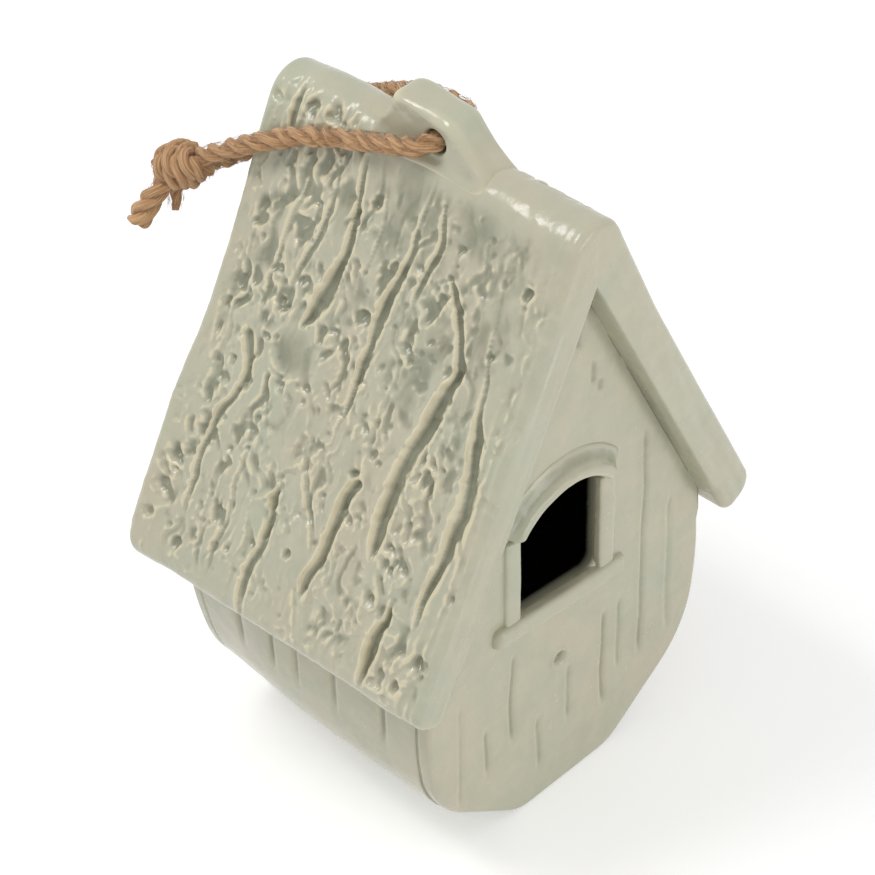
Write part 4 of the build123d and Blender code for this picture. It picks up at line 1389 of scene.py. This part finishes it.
def gable_wall(name, facing, has_door, spacing=0.9):
    """A wall on the front (facing 1) or the back (facing -1) of the body.

    A row holds one point of every ray. The rows run in over the inner face, through the edge of
    the door, out over the outer face and round the rim. Depth is measured behind the outer face.
    """
    outline = wall_outline(spacing)
    hub = np.array(front_hub if has_door else back_hub)
    out = outward_of(outline)
    rounded = fades(outline[:, 1], 66, 72)[:, None]
    order, angle = by_angle(outline, hub)
    outline, out, rounded = outline[order], out[order], rounded[order]
    rim = outline - out * rim_radius * rounded
    if has_door:
        edge = across_outline(door_outline(), hub, angle)
        edge_out = outward_of(edge)
    else:
        edge, edge_out = np.broadcast_to(hub, rim.shape), np.zeros_like(rim)
    roll = door_roll if has_door else 0
    bend = np.linspace(0, math.pi / 2, 7)
    rows, depth, on_face = [], [], []

    def add(points, deep, face=0.0):
        rows.append(points)
        depth.append(np.broadcast_to(deep, len(points)))
        on_face.append(face)

    for share in np.linspace(1, 0, 6):
        add(edge + (rim - edge) * share if share < 1 else outline, wall)
    if has_door:
        for deep in (wall - 1, wall - 2, wall - 3):
            add(edge, deep)
        for turn in bend[:-1]:
            add(edge + edge_out * roll * (1 - math.cos(turn)), roll * (1 - math.sin(turn)))
    face_start = edge + edge_out * roll
    for share in np.linspace(0, 1, 104) ** 1.05:
        add(face_start + (rim - face_start) * share, 0, 1.0)
    for turn in bend[1:]:
        add(rim + (outline - rim) * math.sin(turn),
            rim_radius * rounded[:, 0] * (1 - math.cos(turn)))
    add(outline, (wall + rim_radius) / 2)
    if not has_door:
        add(outline, wall)
    flat = np.stack(rows)
    deep = np.stack(depth)
    face = np.array(on_face)[:, None]
    x, z = flat[..., 0], flat[..., 1]
    grid = points_of(x, -facing * (body_half_depth - deep), z)
    outside = (deep < wall - 0.1)[..., None]
    grid = np.where(outside, swells(grid, np.array((0, -facing, 0)) * face[..., None]), grid)
    if has_door:
        grid[..., 1] -= face * front_relief(x, z)
    grid = paddled(grid)
    inner = deep > wall - 0.5
    rank = np.arange(len(face))[:, None]
    in_doorway = (rank > 4) & (rank < 16)
    # Painted shade in the doorway, deepening with the depth behind the wall's face.
    painted_reveal_shade = has_door * (1 - face) * in_doorway
    joint = (rank < 1) | (rank > len(face) - 4)
    # Painted shade on the wall just under the roof's edge, plus glaze pooled in the nicks.
    below_roof = -(np.abs(x) * slope_out[0] + (z - gable_height) * slope_out[1])
    corner = face * np.exp(-np.clip(below_roof - 1.5, 0, None) / 2.2)
    for *nick, _ in pooled_nicks:
        corner = corner + upright_nick(x, z, has_door * face, *nick)
    return clay_piece(name, name.replace("glazed_", ""), grid, spacing, wrap=(has_door, True),
                      inner=inner, sharp=0.4 * smooth(-deep, -rim_radius - 0.3, -0.2),
                      pool_and_shade=4.2 * painted_reveal_shade * deep / wall + 0.25 * corner - 1.2 * joint)


gable_wall("glazed_front_wall", 1, True)
gable_wall("glazed_back_wall", -1, False)

# %% [markdown]
# ## The clay trim round the door
# A sill, two jambs and an arched hood were rolled out and luted on. Each is a soft strip: a
# section carried along a line on the front wall, which shrinks to nothing at both ends.

# %% Strips on the front wall
front_y = -body_half_depth
strip_buried = 0.35


def strip(name, node, line, section, seed, end_round=2.5, pool_and_shade=0.0, thin_glaze_and_highlight=0.0):
    """Carry a section (aside, proud) along a line (x, z), with rounded ends.

    Near an end the section shrinks as a circle does: by the root of 1 - (1 - n)^2, with n the
    distance from the end over end_round.
    """
    run = run_along(line)
    at = np.unique(np.concatenate([np.linspace(0, run[-1], int(run[-1] / 0.7)),
                                   np.linspace(0, end_round, 6),
                                   run[-1] - np.linspace(0, end_round, 6)]))
    line = points_at(line, run, at)
    aside = -to_the_right(np.gradient(line, axis=0))
    near = np.minimum(at, run[-1] - at) / end_round
    size = np.sqrt(np.clip(1 - (1 - np.minimum(near, 1)) ** 2, 0, 1))
    middle = section[:, 0].mean()
    reach = middle + (section[None, :, 0] - middle) * (0.35 + 0.65 * size[:, None])
    proud = section[None, :, 1] * size[:, None] - strip_buried
    flat = line[:, None, :] + reach[..., None] * aside[:, None, :]
    grid = points_of(flat[..., 0], front_y - proud, flat[..., 1])
    waver = noise(grid, 9, seed) * 0.28 + noise(grid, 3, seed + 1) * 0.10
    grid = grid + (waver * np.minimum(section[None, :, 1], 1))[..., None] * np.array((0, -1, 0.6))
    ends = [np.broadcast_to(grid[i].mean(axis=0), grid[i].shape)[None] for i in (0, -1)]
    return clay_piece(name, node, np.concatenate([ends[0], grid, ends[1]]), 0.7, sharp=0.3,
                      pool_and_shade=pool_and_shade, thin_glaze_and_highlight=thin_glaze_and_highlight)


def soft_section(width, proud, inward=0, count=22):
    """Half a squarish oval with soft feet. inward says which side reaches into the doorway."""
    angle = np.linspace(0, math.pi, count)
    side = np.sign(np.cos(angle)) * np.abs(np.cos(angle)) ** 0.6 * width / 2
    oval = points_of(side, 0.35 + np.sin(angle) ** 0.6 * (proud - 0.35))
    foot = np.array([(0.9, 0.25), (0.45, 0.45)])
    sunk = np.array([(-0.85, -0.9), (-0.55, -0.5)])
    first = (sunk if inward > 0 else foot) + (width / 2, 0)
    last = ((sunk if inward < 0 else foot) + (width / 2, 0)) * (-1, 1)
    if inward:
        oval[:, 0] += inward * 0.25 * np.clip(inward * oval[:, 0] / width * 2, 0, 1)
        first = first + (inward > 0) * np.array((0.95, 0))
        last = last - (inward < 0) * np.array((0.95, 0))
    return np.concatenate([first, oval[1:-1], last[::-1]])


print("a soft section has", len(soft_section(6.5, 3.2)), "points")

# %% Hood, sill and jambs
hood_angle = math.radians(54)
sill_length, sill_height, sill_proud = 57.0, 6.5, 3.2
jamb_width, jamb_proud = 6.5, 2.0
hood_section = np.array([(0, 0), (0, 2.2), (0.25, 3.6), (0.9, 4.4), (1.9, 4.75), (3.0, 4.7),
                         (3.9, 4.2), (4.7, 3.3), (5.6, 2.5), (6.6, 1.9), (7.6, 1.45), (8.5, 1.1),
                         (9.2, 0.7), (9.6, 0)])
hood_line = arc(head_centre, head_radius, -hood_angle, hood_angle, 0.6)
hood_profile = smooth_line(hood_section, 3)
# The gutter behind the lip: pooled glaze and painted shade.
gutter_pool_and_shade = bell(hood_profile[:, 0] - 6.6, 2.6, 4)
# The lower lip: thin glaze and a painted highlight.
lip_thin_glaze_and_highlight = bell(hood_profile[:, 0] - 1.2, 1.0)
strip("clay_hood", "door_hood", hood_line, hood_profile, 31, pool_and_shade=0.55 * gutter_pool_and_shade[None],
      thin_glaze_and_highlight=0.14 * lip_thin_glaze_and_highlight[None])
sill_middle = door_sill - sill_height / 2 / math.cos(sill_tilt)
sill_share = np.linspace(-0.5, 0.5, 40)[:, None]
sill_way = np.array((math.cos(sill_tilt), -math.sin(sill_tilt)))
sill_line = (door_x, sill_middle) + sill_share * sill_length * sill_way
strip("clay_sill", "door_sill", sill_line, soft_section(sill_height, sill_proud, 1), 33)


def jamb(name, side):
    """Upright strip beside the door, from the sill to the hood."""
    middle = door_x + side * (door_half + jamb_width / 2)
    foot = door_sill - (middle - door_x) * math.tan(sill_tilt) - 0.8
    head = head_centre[1] + head_radius * math.cos(hood_angle) + 1.5
    line = points_of(middle, np.linspace(foot, head, 40))
    node = "door_jamb_left" if side < 0 else "door_jamb_right"
    return strip(name, node, line, soft_section(jamb_width, jamb_proud, side), 35 + side,
                 end_round=1.2)


jamb("clay_jamb_left", -1)
jamb("clay_jamb_right", 1)

# %% [markdown]
# ## The hanging lug
# The lug is a saddle of clay pressed over the ridge, with a hole pushed through it for the rope.
# Its surface is a ring about the hole: one direction goes round the hole, the other goes out of
# the bore, over one flank, over the top and back down the other flank.

# %% The lug as a ring about its hole
hole_y, hole_height, bore_radius = -3.9, 218.0, 3.75


def lug_reach(angle):
    """Distance from the hole to the lug's outer edge: a rounded polygon, by a soft minimum.

    Each side is a line at a distance from the hole, given by the direction it faces.
    """
    sides = [(93.2, 8.5), (27, 18.8), (138.4, 9.7), (270, 10.0), (215, 21), (325, 26)]
    total = 0
    for facing, distance in sides:
        total = total + np.clip(np.cos(angle - math.radians(facing)) / distance, 0, None) ** 12
    return total ** (-1 / 12)


def soft_max(a, b, width):
    """The larger of two numbers, with a smooth passage where they are close."""
    return 0.5 * (a + b + np.sqrt((a - b) ** 2 + width ** 2))


def roof_half_width(y, z):
    """Half the width of the roof at a height: the round of the ridge, and nothing above it."""
    up = z - (ridge_height - ridge_radius) - ridge_swell(y)
    return np.where(up < ridge_radius, np.sqrt(np.clip(ridge_radius ** 2 - up ** 2, 0, None)),
                    4 * (ridge_radius - up))


print("the lug reaches", lug_reach(math.pi / 2).round(1), "mm above its hole")

# %% Build the lug
def hanging_lug():
    """A point lies at radial from the hole at an angle, and at across from the lug's middle.

    Towards the roof the flanks widen into a skirt, by a soft maximum with the roof's half width.
    """
    angle = np.linspace(0, 2 * np.pi, 220, endpoint=False)[:, None]
    reach = lug_reach(angle)
    bend = np.linspace(0, math.pi / 2, 8)
    bore_edge, top_edge, half = 0.9, 3.4, 6.2
    inner_edge, outer_edge = bore_radius + bore_edge, reach - top_edge
    steps = [(bore_radius + 0 * reach, x) for x in np.linspace(0, 1, 6)[:-1] * (half - bore_edge)]
    steps += [(bore_radius + bore_edge * (1 - math.cos(b)) + 0 * reach,
               half - bore_edge * (1 - math.sin(b))) for b in bend]
    steps += [(inner_edge + (outer_edge - inner_edge) * share, half)
              for share in np.linspace(0, 1, 20)[1:-1]]
    steps += [(outer_edge + top_edge * math.sin(b), half - top_edge * (1 - math.cos(b)))
              for b in bend]
    steps += [(reach, x) for x in np.linspace(1, 0, 6)[1:] * (half - top_edge)]
    radial = np.concatenate([radius for radius, _ in steps], axis=1)
    across = np.array([x for _, x in steps])[None] + 0 * radial
    radial = np.concatenate([radial, radial[:, -2:0:-1]], axis=1)
    across = np.concatenate([across, -across[:, -2:0:-1]], axis=1)
    y = hole_y + radial * np.cos(angle)
    z = hole_height + radial * np.sin(angle)
    above = z - ridge_height - ridge_swell(y)
    share = np.clip(np.abs(across) / half, 0, 1)
    outer = smooth(radial, bore_radius + 0.4, bore_radius + 3)
    skirt = soft_max(half + 0 * z, roof_half_width(y, z) - 0.35, 2.2) - half
    x = across * (1 + 0.06 * smooth(above, 6, 12)) + np.sign(across) * share * outer * skirt
    y = y + np.sign(np.cos(angle)) * 1.2 * smooth(-above, -5, 0.5) * smooth(radial, 9, 15)
    grid = points_of(x, y, z)
    swell = 0.28 * noise(grid, 9, 81) + 0.10 * noise(grid, 4, 82)
    way = points_of(np.sign(across) * share, 0 * x, smooth(radial, 6, 12) * (1 - share))
    grid = grid + swell[..., None] * way
    return clay_piece("clay_lug", "hanging_lug", grid, 0.7, wrap=(True, True))


hanging_lug()

# %% [markdown]
# ## Floor and light
# The house stands on a pale floor in a plain studio. A small box, high on the left and behind the
# house, brings out the bark. A large, low box in front fills the gable wall. The surround is full
# white where the camera or a reflection looks, and dimmer where it lights the clay, so that the
# colours stay as written.

# %% Studio
def soft_box(name, place, size, power, aim=(0, 0, 0.1)):
    """A square light at a place, turned towards the aim. Size in metres, power in watts."""
    lamp = bpy.data.lights.new(name, "AREA")
    lamp.shape, lamp.size, lamp.energy = "SQUARE", size, power
    box = bpy.data.objects.new(name, lamp)
    box.location = place
    box.rotation_euler = (Vector(aim) - Vector(place)).to_track_quat("-Z", "Y").to_euler()
    bpy.context.scene.collection.objects.link(box)
    print(name, "at", place)


def where_seen(finish, unseen=0.0, seen_by_eye=1.0):
    """One number where the camera or a reflection looks, another where light only passes on."""
    looks = sum(finish.node("ShaderNodeLightPath", output=f"Is {ray} Ray")
                for ray in ("Camera", "Glossy", "Transmission"))
    return finish.node("ShaderNodeMapRange", None,
                       {"Value": looks, "To Min": unseen, "To Max": seen_by_eye})


def surround(strength):
    """White all round, and only as bright as strength says where it lights the clay."""
    finish = Finish(bpy.data.worlds.new("studio"), "Background", Color=(1, 1, 1, 1))
    bpy.context.scene.world = finish.feed(Strength=where_seen(finish, unseen=strength))


def pale_floor(size):
    """A matte white sheet, lifted to white for the camera so that only the shadow shows on it."""
    mesh = bpy.data.meshes.new("floor")
    mesh.from_pydata([(-size, -size, 0), (size, -size, 0), (size, size, 0), (-size, size, 0)],
                     [], [(0, 1, 2, 3)])
    finish = Finish(bpy.data.materials.new("pale_floor"), Base_Color=(0.86, 0.86, 0.86, 1),
                    Roughness=0.9, Emission_Color=(1, 1, 1, 1))
    lift = where_seen(finish, seen_by_eye=0.36)
    mesh.materials.append(finish.feed(Emission_Strength=lift))
    floor = bpy.data.objects.new("floor", mesh)
    bpy.context.scene.collection.objects.link(floor)


bpy.context.scene.view_settings.view_transform = "Standard"
surround(0.60)
pale_floor(3.0)
soft_box("key_box", (-0.60, 0.50, 1.40), 0.5, 7.8)
soft_box("fill_box", (0.25, -1.5, 0.14), 1.0, 8.6)

# %% [markdown]
